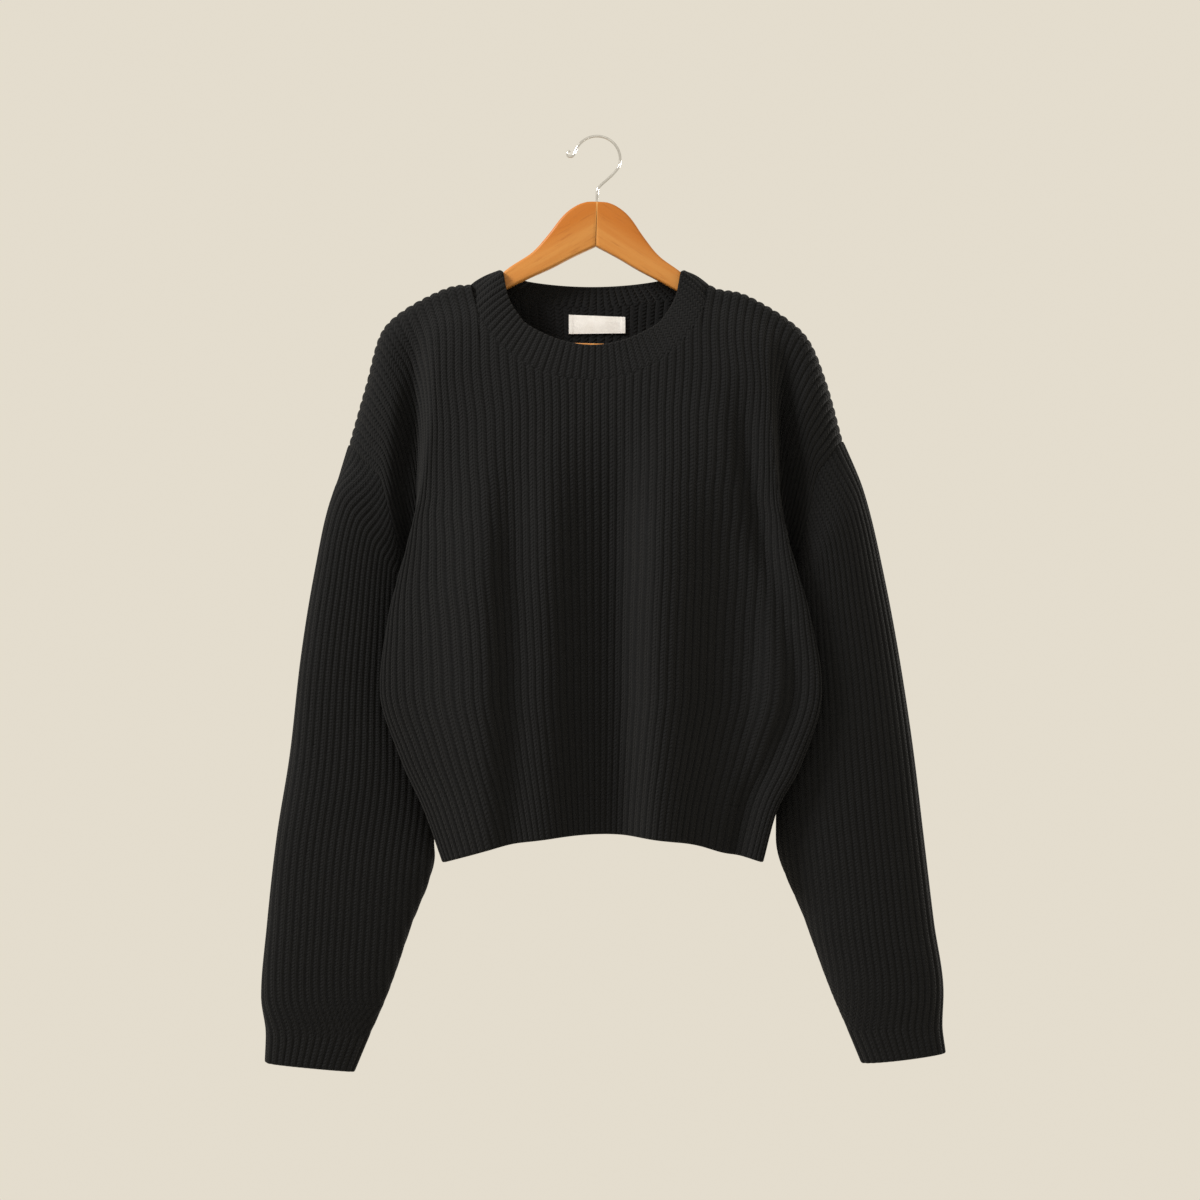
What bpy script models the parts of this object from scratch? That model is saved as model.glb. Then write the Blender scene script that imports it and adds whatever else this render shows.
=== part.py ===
"""A crew neck sweater in chunky rib knit, hanging on a wooden hanger with a wire hook.

Metres, +Z up, with the wearer's front at -Y. The origin is where the hook's wire rests on what
holds it. Left and right are the wearer's own, so the right side is at -X. The shoulder seams and
the side seams lie in the plane y = 0, and the front and the back meet there.
"""

import math
from functools import lru_cache

import bpy
import numpy as np

MM = 0.001
RIGHT, LEFT = -1, 1
FRONT, BACK = -1, 1

WALL = 3.0 * MM  # the knit
GAP = 0.3 * MM  # between pieces that are sewn or glued together

# The body's courses, one row each, from the shoulder line to the hem's edge, in mm: how far down
# the course is knitted, the height of its middle below the origin, and how far it stands from
# the plane y = 0 at the middle and halfway to the rim, then on the back at the other stations.
COURSE_COLUMNS = (
    "down", "middle_z", "front_middle", "front_half", "back_middle", "back_half",
    "back_rim", "back_valley", "back_cap", "back_edge",
)
COURSES = (
    (0, 108, 0.15, 0.15, 0.15, 0.15, 0.15, 0.15, 0.15, 0.15),
    (9, 111, 9, 9, 9, 9, 9, 9, 9, 8),
    (20, 123, 13, 13, 12, 12, 12, 12, 12, 10),
    (45, 149, 22, 23, 15, 16, 16, 14, 12, 13),
    (90, 198, 31, 34, 17, 20, 20, 12, 10, 16),
    (150, 263, 41, 45, 21, 23, 22, 15, 10, 11),
    (215, 332, 47, 51, 24, 26, 24, 22, 13, 0.15),
    (290, 408, 51, 55, 26, 28, 25, 21, 14, 0.15),
    (350, 468, 51, 55, 26, 28, 25, 21, 14, 0.15),
    (410, 528, 49, 52, 25, 27, 24, 20, 13, 0.15),
    (450, 574, 46, 48, 25, 26, 23, 18, 12, 0.15),
    (485, 610, 45, 46, 25, 25, 22, 17, 11, 0.15),
)

# The rest of each course on the two sides, in mm: out from the middle, down from the origin and
# forward of the plane y = 0. The rim is the fold that edges the front, the valley is behind it,
# the cap is the cloth that drops past the hanger's tip, and the edge is the armhole or side seam.
SIDE_COLUMNS = (
    "down", "rim_x", "rim_z", "rim_y", "valley_x", "valley_z", "valley_y",
    "cap_x", "cap_z", "cap_y", "edge_x", "edge_z", "edge_y",
)
RIGHT_SIDE = (
    (0, 150, 142, 0.15, 188, 171, 0.15, 202, 218, 0.15, 217, 271, 0.15),
    (9, 149, 144, 9, 185, 173, 9, 198, 220, 9, 213, 274, 8),
    (20, 143, 154, 14, 176, 182, 14, 190, 228, 15, 205, 284, 13),
    (45, 141, 179, 25, 163, 201, 11, 180, 247, 18, 189, 301, 18),
    (90, 140, 225, 34, 159, 264, 4, 173, 303, 9, 181, 336, 23),
    (150, 146, 288, 42, 158, 323, 6, 163, 350, 8, 168, 374, 14),
    (215, 161, 355, 44, 156, 384, 21, 146, 396, 14, 141, 402, 0.15),
    (290, 180, 430, 42, 167, 444, 23, 151, 453, 13, 139, 458, 0.15),
    (350, 186, 485, 40, 168, 495, 23, 150, 500, 13, 135, 504, 0.15),
    (410, 168, 545, 38, 157, 551, 22, 142, 555, 12, 127, 557, 0.15),
    (450, 148, 589, 36, 142, 590, 21, 131, 589, 11, 120, 588, 0.15),
    (485, 132, 634, 35, 129, 632, 20, 122, 629, 10, 115, 626, 0.15),
)
LEFT_SIDE = (
    (0, 148, 149, 0.15, 184, 177, 0.15, 200, 214, 0.15, 215, 268, 0.15),
    (9, 147, 151, 9, 181, 179, 9, 196, 216, 9, 211, 271, 8),
    (20, 145, 162, 14, 173, 189, 14, 188, 226, 16, 204, 281, 14),
    (45, 147, 188, 25, 164, 208, 14, 180, 246, 21, 191, 299, 21),
    (90, 148, 232, 36, 161, 268, 7, 175, 303, 14, 184, 335, 26),
    (150, 152, 291, 44, 160, 322, 9, 166, 350, 9, 173, 372, 16),
    (215, 164, 355, 45, 161, 382, 22, 152, 396, 14, 147, 402, 0.15),
    (290, 184, 428, 44, 173, 443, 25, 158, 452, 14, 145, 458, 0.15),
    (350, 193, 486, 42, 177, 496, 25, 158, 501, 14, 142, 504, 0.15),
    (410, 174, 551, 40, 165, 555, 24, 150, 558, 13, 136, 560, 0.15),
    (450, 154, 589, 38, 150, 590, 22, 140, 589, 12, 129, 588, 0.15),
    (485, 142, 634, 36, 138, 631, 20, 132, 628, 11, 124, 625, 0.15),
)
HEM_SEAM = 451  # down, where the hem band is knitted on
HEM_EDGE = 485
UNDERARM = 215
SHOULDER_STEPS, NECK_STEPS = 12, 16  # wales of a panel, on each shoulder and in the neck
LEVELS = np.append(np.arange(0, HEM_EDGE, 5.0), HEM_EDGE)  # the courses that panels are read from
LINE_POINTS = 160  # points on half a course
WALE_STEP, DOWN_STEP = 0.004, 1.5  # either side of a point, for its normal
FOLDS_START, FOLDS_FULL = 115, 250  # down, where the body's folds begin and are full

# The body's long vertical folds, in mm: x at the top and at the hem, how far the fold stands out
# (a valley is negative) and its half widths to the right and to the left of its crest.
FRONT_FOLDS = (
    (-99, -97, 15, 36, 12),
    (-42, -47, 9, 15, 14),
    (17, 20, -12, 24, 13),
    (57, 54, 14, 15, 27),
    (122, 112, -7, 24, 26),
)
BACK_FOLDS = (
    (-118, -100, 4, 26, 26),
    (-50, -42, -6, 20, 20),
    (22, 28, 4, 22, 22),
    (98, 84, -6, 24, 24),
)
# A valley that follows the left front's rim, in mm: how far inside the rim, how deep, its half
# width, where down it begins and where it is full.
RIM_INSIDE, RIM_DEEP, RIM_HALF_WIDTH = 18, 9, 8
RIM_VALLEY_START, RIM_VALLEY_FULL = 70, 140
RIM_ROUND = 8 * MM  # how far in from the rim the valley fades out

# The neck opening, in mm: half widths from the middle to the collar's seam, how far the seam
# drops below the shoulder line, and the collar's free edge.
NECK_HALF = {RIGHT: 111, LEFT: 98}
NECK_TOP_Z = -121
NECK_DROP = {FRONT: 95, BACK: 26.5}
COLLAR_HALF = {RIGHT: 84, LEFT: 75}
COLLAR_RISE = 1.3 * MM  # how far the band bows up over the hanger's arms
# The free edge's rows: degrees round from the shoulder, out from the plane y = 0, and down.
COLLAR_EDGE = {
    FRONT: ((0, 0, 115.5), (11, 8, 116.5), (23, 14, 141), (34, 17, 155), (45, 20, 167), (90, 28, 186)),
    BACK: ((0, 0, 115.5), (11, 8, 116), (23, 12, 118), (34, 14, 121), (45, 15, 125), (90, 17, 131)),
}

# The sleeves' rings below the armhole, in mm: the outer fold, the inner fold, and how far the
# sleeve stands forward and back of the line between them.
SLEEVE_COLUMNS = ("along", "outer_x", "outer_z", "inner_x", "inner_z", "forward", "behind")
RIGHT_SLEEVE = (
    (42, 229, 312, 156, 416, 29, 18),
    (118, 246, 385, 158, 462, 29, 19),
    (195, 258, 460, 157, 518, 28, 20),
    (275, 267, 540, 151, 576, 27, 20),
    (352, 279, 615, 144, 630, 26, 20),
    (428, 287.5, 690, 166, 697, 23, 19),
    (494, 293, 755, 187, 757, 19, 17),
    (526, 289, 787, 202, 791, 14, 13),
    (554, 290, 813, 215, 822, 12, 12),
)
LEFT_SLEEVE = (
    (45, 233, 312, 162, 416, 32, 18),
    (120, 250.5, 385, 163, 462, 31, 19),
    (197, 264.5, 460, 163, 518, 30, 20),
    (278, 276.5, 540, 159, 570, 28, 20),
    (354, 285.5, 615, 159, 618, 26, 20),
    (430, 294.5, 690, 185, 690, 23, 19),
    (494, 303, 753, 209, 755, 19, 17),
    (522, 302, 780, 222, 785, 14, 13),
    (548, 305, 806, 234, 814, 12, 12),
)
OUTER_FULLNESS = 0.35  # how much fuller a sleeve is towards its outer fold
SLEEVES = {RIGHT: RIGHT_SLEEVE, LEFT: LEFT_SLEEVE}

# The mesh's rows, in mm: down the body, along a sleeve before its cuff, and down the hem band.
BODY_ROWS = (0, 4, 9, 20, 36, 55, 80, 110, 150, 184, UNDERARM, 250, 290, 322, 352, 382, 412,
             434, HEM_SEAM - GAP / MM)
ARMHOLE_ROWS = tuple(row for row in BODY_ROWS if row <= UNDERARM)
JOINED_ROW = 150  # the first course that the neck doesn't cut short
NECK_PROBE = 140  # the neck is looked for this far down
SLEEVE_ROWS = (0, 14, 42, 80, 118, 156, 195, 235, 275, 314, 352, 390, 428, 462, 494)
HEM_ROWS = (HEM_SEAM, 468, HEM_EDGE)
SLEEVE_GAP = 0.66 * MM  # between a sleeve's first ring and the armhole's edge
COLLAR_GAP = 0.45 * MM  # between the collar and the neck's edge
SEAM_PROBE = 3  # either side of a cuff's seam, for the normals there

LABEL_WIDTH, LABEL_HEIGHT, LABEL_TOP_Z = 50 * MM, 17 * MM, -154.5 * MM
LABEL_WALL = 1.0 * MM
LABEL_WALES = 0.14  # the label lies within these wales, either side of the back's middle
LABEL_DOWN = (25, 75)  # and within this far down, in mm

# The hanger, in mm. Each arm is a plate between two edges: out from the middle, then down. It
# hangs a little lower on the left.
ARM_THICK = 10.5 * MM
ARM_TOP = ((0, 56.8), (7, 57), (14, 58.8), (20, 62), (26, 66.5), (32.5, 73.7), (39, 83),
           (45, 90.8), (52, 99.3), (58, 104.9), (64.5, 109.4), (71, 113.6), (77, 118),
           (85, 125.5), (96, 136), (111, 145), (134, 154), (158, 164), (172, 174))
ARM_TIP = ((180, 182), (184, 190), (182, 198), (175, 202))
ARM_BOTTOM = ((166, 199), (150, 187), (118, 161), (81, 138), (60, 126.7), (38, 116), (20, 106),
              (0, 96))
ARM_STEPS = 17  # points along each of an arm's edges
ARM_BEVEL = 2.4 * MM
SHARP_ANGLE = 50  # degrees between faces, from which an edge of the wood counts as one
HANGER_TILT = 1.6  # degrees, about the top of the crown
CROWN_Z = -56.8 * MM
BAR_RADIUS, BAR_Z, BAR_HALF = 4.5 * MM, -185.7 * MM, 176 * MM
WIRE_RADIUS = 1.2 * MM
BORE_LENGTH, BORE_Z = 40 * MM, -57 * MM  # the wire's bore, through the crown's top
HOOK_RADIUS = 20.4 * MM
HOOK_FROM, HOOK_TO = -16, 164  # degrees round the hook's arc
HOOK_NECK = ((15.2, 31.0), (9.0, 37.0), (3.2, 42.2), (0.4, 46.0), (0, 52), (0, 64), (0, 76))
HOOK_TIP = ((-22.6, 16.8), (-25.2, 16.6), (-26.0, 14.2), (-24.0, 11.6))


def smooth(knots, values, at):
    """Values on a smooth curve through the knots, which never overshoots them."""
    knots, values, at = np.asarray(knots, float), np.asarray(values, float), np.asarray(at, float)
    shape = values.shape[1:]
    values = values.reshape(len(knots), -1)
    step = np.diff(knots)[:, None]
    slope = np.diff(values, axis=0) / step
    tangent = np.zeros_like(values)
    tangent[0], tangent[-1] = slope[0], slope[-1]
    before, after = 2 * step[1:] + step[:-1], step[1:] + 2 * step[:-1]
    with np.errstate(divide="ignore", invalid="ignore"):
        mean = (before + after) / (before / slope[:-1] + after / slope[1:])
    tangent[1:-1] = np.where(slope[:-1] * slope[1:] > 0, mean, 0)
    i = np.clip(np.searchsorted(knots, at, side="right") - 1, 0, len(step) - 1)
    u = (at - knots[i])[..., None] / step[i]
    start, end = values[i], values[i + 1]
    out = (1 + 2 * u) * (1 - u) ** 2 * start + u * (1 - u) ** 2 * step[i] * tangent[i]
    out = out + u**2 * (3 - 2 * u) * end + u**2 * (u - 1) * step[i] * tangent[i + 1]
    return out.reshape(at.shape + shape)


def ramp(value, start, end):
    """0 before start and 1 after end, with a smooth change between."""
    u = np.clip((value - start) / (end - start), 0, 1)
    return u * u * (3 - 2 * u)


def reader(columns, table):
    """A function that gives a named column of a table, in metres, at any place down or along."""
    rows = np.array(table, float)
    return lambda name, at: MM * smooth(rows[:, 0], rows[:, columns.index(name)], at)


def unit(vectors):
    """Vectors at length 1."""
    return vectors / np.maximum(np.linalg.norm(vectors, axis=-1, keepdims=True), 1e-12)


def along_line(line, shares):
    """Points at the given shares of a line's length."""
    steps = np.linalg.norm(np.diff(line, axis=0), axis=1)
    reached = np.concatenate([[0], np.cumsum(steps)])
    return np.stack([np.interp(shares * reached[-1], reached, line[:, k]) for k in range(3)], 1)


def along_course(half, shares):
    """Points at the given shares of half a course, from the middle out. The folds don't count."""
    places = np.linspace(0, 1, len(half))
    return np.stack([np.interp(shares, places, half[:, k]) for k in range(3)], 1)


course = reader(COURSE_COLUMNS, COURSES)
side_course = {
    RIGHT: reader(SIDE_COLUMNS, RIGHT_SIDE),
    LEFT: reader(SIDE_COLUMNS, LEFT_SIDE),
}
sleeve_ring = {
    RIGHT: reader(SLEEVE_COLUMNS, RIGHT_SLEEVE),
    LEFT: reader(SLEEVE_COLUMNS, LEFT_SLEEVE),
}


def side_stations(face, side, down):
    """The stations of one course from half way to the rim out to its edge."""
    read = side_course[side]
    depth = {name: read(f"{name}_y", down) for name in ("rim", "valley", "cap", "edge")}
    if face == BACK:
        depth = {name: course(f"back_{name}", down) for name in depth}
    half = course("front_half" if face == FRONT else "back_half", down)
    middle_z = course("middle_z", down)
    rim_x, rim_z = read("rim_x", down), read("rim_z", down)
    points = [(side * 0.5 * rim_x, face * half, -(0.75 * middle_z + 0.25 * rim_z))]
    for name in ("rim", "valley", "cap", "edge"):
        x, z = read(f"{name}_x", down), read(f"{name}_z", down)
        points.append((side * x, face * depth[name], -z))
    return points


def fold_offset(face, x, down):
    """How far the long folds push the cloth out at x on one course."""
    offset = np.zeros_like(x)
    for top_x, hem_x, stands_out, right, left in FRONT_FOLDS if face == FRONT else BACK_FOLDS:
        from_crest = x / MM - top_x - (hem_x - top_x) * down / HEM_EDGE
        half_width = np.where(from_crest < 0, right, left)
        offset += stands_out * np.exp(-0.5 * (from_crest / half_width) ** 2)
    return MM * offset * ramp(down, FOLDS_START, FOLDS_FULL)


def rim_valley(x, down):
    """How deep the valley inside the left front's rim is at x on one course."""
    from_valley = x / MM - side_course[LEFT]("rim_x", down) / MM + RIM_INSIDE
    depth = MM * RIM_DEEP * np.exp(-0.5 * (from_valley / RIM_HALF_WIDTH) ** 2)
    return depth * ramp(down, RIM_VALLEY_START, RIM_VALLEY_FULL)


@lru_cache(maxsize=None)
def course_line(face, down):
    """One whole course in two halves: from the middle to the right edge, and to the left one."""
    middle = course("front_middle" if face == FRONT else "back_middle", down)
    right, left = (side_stations(face, side, down) for side in (RIGHT, LEFT))
    centre = (0.0, face * middle, -course("middle_z", down))
    stations = np.array(right[::-1] + [centre] + left, float)
    steps = np.linalg.norm(np.diff(stations, axis=0), axis=1)
    knots = np.concatenate([[0], np.cumsum(steps)])
    halves = []
    for side, end, rim, half in ((RIGHT, 0, 3, 4), (LEFT, 10, 7, 6)):
        at = np.linspace(knots[5], knots[end], LINE_POINTS)
        line = smooth(knots, stations, at)
        from_edge = np.abs(at - knots[end])
        to_rim, to_half = abs(knots[rim] - knots[end]), abs(knots[half] - knots[end])
        push = fold_offset(face, line[:, 0], down) * ramp(from_edge, 0.6 * to_rim, to_half)
        if (face, side) == (FRONT, LEFT):
            push -= rim_valley(line[:, 0], down) * ramp(from_edge, to_rim, to_rim + RIM_ROUND)
        line[:, 1] += face * push
        halves.append(line)
    return halves


def panel_points(face, wales, down):
    """Points of the front or the back, at wales from -1 (the right edge) to 1; down has a row for
    each course, with a value for each wale."""
    shares = np.abs(wales)
    grid = []
    for level in LEVELS:
        right, left = (along_course(half, shares) for half in course_line(face, level))
        grid.append(np.where(wales[:, None] < 0, right, left))
    grid = np.array(grid)
    columns = [smooth(LEVELS, grid[:, j], down[:, j]) for j in range(len(wales))]
    return np.stack(columns, axis=1)


def panel_normals(face, wales, down):
    """The panel's unit normals, out of the garment, which lie in the plane y = 0 along the seams
    in that plane."""
    right, left = np.maximum(wales - WALE_STEP, -1), np.minimum(wales + WALE_STEP, 1)
    above, below = np.maximum(down - DOWN_STEP, 0), np.minimum(down + DOWN_STEP, HEM_EDGE)
    across = panel_points(face, left, down) - panel_points(face, right, down)
    along = panel_points(face, wales, below) - panel_points(face, wales, above)
    normals = face * unit(np.cross(across, along))
    sides = (np.abs(wales) > 1 - 1e-9) & (down >= UNDERARM)
    in_plane = sides | (down <= 0)
    normals[in_plane] = flatten_y(normals[in_plane])
    return normals


@lru_cache(maxsize=None)
def neck_share(side):
    """The wale where the collar's seam meets the shoulder seam."""
    half = course_line(FRONT, 0.0)[0 if side == RIGHT else 1]
    return np.interp(NECK_HALF[side] * MM, np.abs(half[:, 0]), np.linspace(0, 1, len(half)))


def in_neck(wales):
    """Which wales start on the neck's curve, with its two ends."""
    return np.abs(wales) <= np.where(wales < 0, neck_share(RIGHT), neck_share(LEFT)) + 1e-9


def neck_down(face, wales):
    """How far down each wale starts: 0 on the shoulders, and the neck's curve between them."""
    centre = (NECK_HALF[LEFT] - NECK_HALF[RIGHT]) / 2 * MM
    half = (NECK_HALF[LEFT] + NECK_HALF[RIGHT]) / 2 * MM
    probe = np.linspace(0, NECK_PROBE, NECK_PROBE + 1)
    points = panel_points(face, wales, np.repeat(probe[:, None], len(wales), 1))
    across = (points[:, :, 0] - centre) / half
    drop = (NECK_TOP_Z * MM - points[:, :, 2]) / (NECK_DROP[face] * MM)
    outside = across**2 + np.maximum(drop, 0) ** 2 - 1
    start = np.zeros(len(wales))
    for j in np.where(in_neck(wales) & (outside[0] < 0))[0]:
        k = int(np.argmax(outside[:, j] > 0))
        start[j] = probe[k] - outside[k, j] / (outside[k, j] - outside[k - 1, j])
    return start


def spread_down(start, rows, joined):
    """Each wale's rows: those above joined are squeezed below the wale's own start."""
    rows = np.asarray(rows, float)[:, None]
    squeezed = start + (joined - start) * rows / joined
    return np.where(rows < joined, squeezed, rows)


def body_wales(shoulder_steps, neck_steps):
    """Wales for a panel: even on the shoulders, and closer at the ends of the neck's curve."""
    right, left = neck_share(RIGHT), neck_share(LEFT)
    even = np.linspace(-1, 1, neck_steps + 1)
    turn = np.sin(even * math.pi / 2)
    neck = np.where(turn < 0, turn * right, turn * left)
    outer_right = np.linspace(-1, -right, shoulder_steps + 1)[:-1]
    outer_left = np.linspace(left, 1, shoulder_steps + 1)[1:]
    return np.concatenate([outer_right, neck, outer_left])


def ring_normals(points):
    """Unit normals of rings of points, out from their middles."""
    down = np.gradient(points, axis=0)
    across = np.roll(points, -1, axis=1) - np.roll(points, 1, axis=1)
    normals = unit(np.cross(across, down))
    out = points - points.mean(axis=1, keepdims=True)
    return normals * np.sign(np.mean(np.sum(normals * out, axis=-1)))


def flatten_y(normals):
    """Normals of points on the plane y = 0, turned into that plane."""
    return unit(normals * np.array([1.0, 0.0, 1.0]))


def new_material(name, colour, roughness, metallic=0.0):
    """A plain material."""
    material = bpy.data.materials.new(name)
    material.use_nodes = True
    shader = material.node_tree.nodes["Principled BSDF"]
    shader.inputs["Base Color"].default_value = (*colour, 1)
    shader.inputs["Roughness"].default_value = roughness
    shader.inputs["Metallic"].default_value = metallic
    return material


def new_object(name, points, faces, material):
    """A mesh object from points and faces."""
    mesh = bpy.data.meshes.new(name)
    mesh.from_pydata([tuple(p) for p in points], [], faces)
    mesh.validate()
    mesh.materials.append(material)
    mesh.shade_smooth()
    thing = bpy.data.objects.new(name, mesh)
    bpy.context.collection.objects.link(thing)
    return thing


def cloth_wall(name, points, normals, material, thickness=WALL, closed=False):
    """A closed wall about a grid of points, with the normals pointing out of the garment."""
    rows, columns = points.shape[:2]
    count = rows * columns
    everything = np.concatenate([
        (points + normals * thickness / 2).reshape(-1, 3),
        (points - normals * thickness / 2).reshape(-1, 3),
    ])

    def end_face(a, b):
        """The wall's end between two outer points: split along the shorter diagonal, so that
        the ends of two pieces that meet at a seam match."""
        if np.linalg.norm(everything[a] - everything[count + b]) < np.linalg.norm(
                everything[b] - everything[count + a]):
            return [(b, a, count + b), (count + b, a, count + a)]
        return [(b, a, count + a), (count + b, b, count + a)]

    faces = []
    last = columns if closed else columns - 1
    for i in range(rows - 1):
        for j in range(last):
            k = (j + 1) % columns
            a, b, c, d = i * columns + j, i * columns + k, (i + 1) * columns + k, (i + 1) * columns + j
            faces += [(a, b, c, d), (count + d, count + c, count + b, count + a)]
    bottom = (rows - 1) * columns
    for j in range(last):
        k = (j + 1) % columns
        faces += end_face(j, k) + end_face(bottom + k, bottom + j)
    if not closed:
        for i in range(rows - 1):
            above, below = i * columns, (i + 1) * columns
            faces += end_face(below, above)
            faces += end_face(above + columns - 1, below + columns - 1)
    if volume(everything, faces) < 0:
        faces = [face[::-1] for face in faces]
    return new_object(name, everything, faces, material)


def volume(points, faces):
    """The volume inside the faces, negative if they face inwards."""
    total = 0.0
    for face in faces:
        for k in range(1, len(face) - 1):
            a, b, c = points[face[0]], points[face[k]], points[face[k + 1]]
            total += np.dot(a, np.cross(b, c))
    return total / 6


def armhole(face, side):
    """The armhole's edge on one face, closely spaced from the shoulder down to the underarm."""
    rows = np.linspace(0, UNDERARM, UNDERARM + 1)[:, None]
    line = panel_points(face, np.array([float(side)]), rows)[:, 0]
    line[[0, -1], 1] = 0
    return rows[:, 0], line


def armhole_shares(face, side):
    """How far round the armhole each of the panel's rows comes, from 0 to 1."""
    rows, line = armhole(face, side)
    steps = np.concatenate([[0], np.cumsum(np.linalg.norm(np.diff(line, axis=0), axis=1))])
    return np.interp(ARMHOLE_ROWS, rows, steps / steps[-1])


def around_sleeve(side):
    """A sleeve's wales, which meet the panels' rows: 0 at the outer fold, 1 at the inner fold
    after the front, and on towards 2 at the outer fold again after the back."""
    front, back = armhole_shares(FRONT, side), armhole_shares(BACK, side)
    return np.concatenate([front, 2 - back[-2:0:-1]])


def sleeve_points(side, around, along):
    """Points of a sleeve, whose first ring, where along is 0, is the armhole."""
    read = sleeve_ring[side]
    stations = [row[0] for row in SLEEVES[side]]
    turn = np.linspace(0, math.pi, 90)
    rings = []
    for station in [0] + stations:
        ring = np.empty((len(around), 3))
        for face, mine in ((FRONT, around <= 1), (BACK, around > 1)):
            if station == 0:
                line = armhole(face, side)[1]
            else:
                outer = np.array([side * read("outer_x", station), 0, -read("outer_z", station)])
                inner = np.array([side * read("inner_x", station), 0, -read("inner_z", station)])
                depth = read("forward" if face == FRONT else "behind", station)
                line = (outer + inner) / 2 + np.cos(turn)[:, None] * (outer - inner) / 2
                line[:, 1] += face * depth * np.sin(turn) * (1 + OUTER_FULLNESS * np.cos(turn))
            ring[mine] = along_line(line, np.where(around <= 1, around, 2 - around)[mine])
        rings.append(ring)
    return smooth([0] + stations, np.array(rings), np.asarray(along, float))


def join_armhole(side, panels, points, normals):
    """Gives the panels' armhole edges and the sleeve's first ring one set of normals, half way
    between their own, so that their end faces lie side by side."""
    column = 0 if side == RIGHT else -1
    rows = len(ARMHOLE_ROWS)
    ring = {FRONT: np.arange(rows), BACK: np.append(0, np.arange(2 * rows - 3, rows - 2, -1))}
    halfway = {face: unit(panels[face][1][:rows, column] + normals[0, ring[face]]) for face in ring}
    for face in (FRONT, BACK):
        halfway[face][[0, -1]] = flatten_y(halfway[face][[0, -1]])
        normals[0, ring[face]] = halfway[face]
    for face in (FRONT, BACK):
        panels[face][1][:rows, column] = normals[0, ring[face]]
    points[0] += SLEEVE_GAP * unit(points[1] - points[0])


def build_body_and_sleeves(knit):
    """The front, the back and the sleeves, which share their normals along the armholes."""
    wales = body_wales(SHOULDER_STEPS, NECK_STEPS)
    panels = {}
    for face in (FRONT, BACK):
        down = spread_down(neck_down(face, wales), BODY_ROWS, JOINED_ROW)
        panels[face] = (panel_points(face, wales, down), panel_normals(face, wales, down))
    for side, name in ((RIGHT, "sleeve_right"), (LEFT, "sleeve_left")):
        cuff_seam = SLEEVES[side][-2][0]
        around = around_sleeve(side)
        points = sleeve_points(side, around, SLEEVE_ROWS + (cuff_seam - GAP / MM,))
        normals = ring_normals(points)
        normals[-1] = cuff_seam_normals(side, around)
        join_armhole(side, panels, points, normals)
        cloth_wall(name, points, normals, knit, closed=True)
    for face, name in ((FRONT, "front_panel"), (BACK, "back_panel")):
        cloth_wall(name, *panels[face], knit)
    return panels


def cuff_seam_normals(side, around):
    """The normals that a sleeve's last ring and its cuff's first one share."""
    seam = SLEEVES[side][-2][0]
    rings = sleeve_points(side, around, (seam - SEAM_PROBE, seam, seam + SEAM_PROBE))
    return ring_normals(rings)[1]


def build_hem(knit):
    """The ribbed hem: one ring below the front and the back."""
    wales = body_wales(SHOULDER_STEPS, NECK_STEPS)
    down = np.repeat(np.array(HEM_ROWS, float)[:, None], len(wales), 1)
    parts = []
    for make in (panel_points, panel_normals):
        front, back = (make(face, wales, down) for face in (FRONT, BACK))
        parts.append(np.concatenate([front, back[:, -2:0:-1]], axis=1))
    points, normals = parts
    points[:, [0, len(wales) - 1], 1] = 0
    cloth_wall("hem_band", points, normals, knit, closed=True)


def build_cuffs(knit):
    """The ribbed cuffs: a ring below each sleeve."""
    for side, name in ((RIGHT, "cuff_right"), (LEFT, "cuff_left")):
        around = around_sleeve(side)
        seam, edge = (row[0] for row in SLEEVES[side][-2:])
        points = sleeve_points(side, around, (seam, (seam + edge) / 2, edge))
        normals = ring_normals(points)
        normals[0] = cuff_seam_normals(side, around)
        cloth_wall(name, points, normals, knit, closed=True)


def collar_edge(face, turn):
    """The collar's free edge, where turn goes from the right shoulder (0) to the left one (pi)."""
    rows = np.array(COLLAR_EDGE[face], float)
    centre = (COLLAR_HALF[LEFT] - COLLAR_HALF[RIGHT]) / 2 * MM
    half = (COLLAR_HALF[LEFT] + COLLAR_HALF[RIGHT]) / 2 * MM
    degrees = np.degrees(np.minimum(turn, math.pi - turn))
    y, z = (MM * smooth(rows[:, 0], rows[:, k], degrees) for k in (1, 2))
    return np.stack([centre - half * np.cos(turn), face * y, -z], 1)


def build_collar(knit, panels):
    """The ribbed neckband: a ring round the neck's seam, up to its free edge."""
    inside = in_neck(body_wales(SHOULDER_STEPS, NECK_STEPS))
    rings = []
    for face in (FRONT, BACK):
        seam, normals = (part[0, inside] for part in panels[face])
        edge = collar_edge(face, np.linspace(0, math.pi, len(seam)))
        rings.append((seam, normals, edge))
    seam, seam_normals, edge = (
        np.concatenate([rings[0][k], rings[1][k][-2:0:-1]]) for k in range(3)
    )
    ends = [0, inside.sum() - 1]
    seam[ends, 1] = edge[ends, 1] = 0
    tangent = unit(np.roll(seam, -1, axis=0) - np.roll(seam, 1, axis=0))
    off_seam = unit(np.cross(seam_normals, tangent))
    off_seam *= np.sign(np.sum(off_seam * (edge - seam), axis=1, keepdims=True))
    start = seam + COLLAR_GAP * off_seam
    middle = (edge + start) / 2
    turn = np.linspace(0, 2 * math.pi, len(seam), endpoint=False)
    middle[:, 2] += COLLAR_RISE * np.cos(turn) ** 4
    points = np.array([edge, middle, start])
    normals = ring_normals(points)
    normals[-1] = seam_normals
    cloth_wall("collar_band", points, normals, knit, closed=True)


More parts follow.
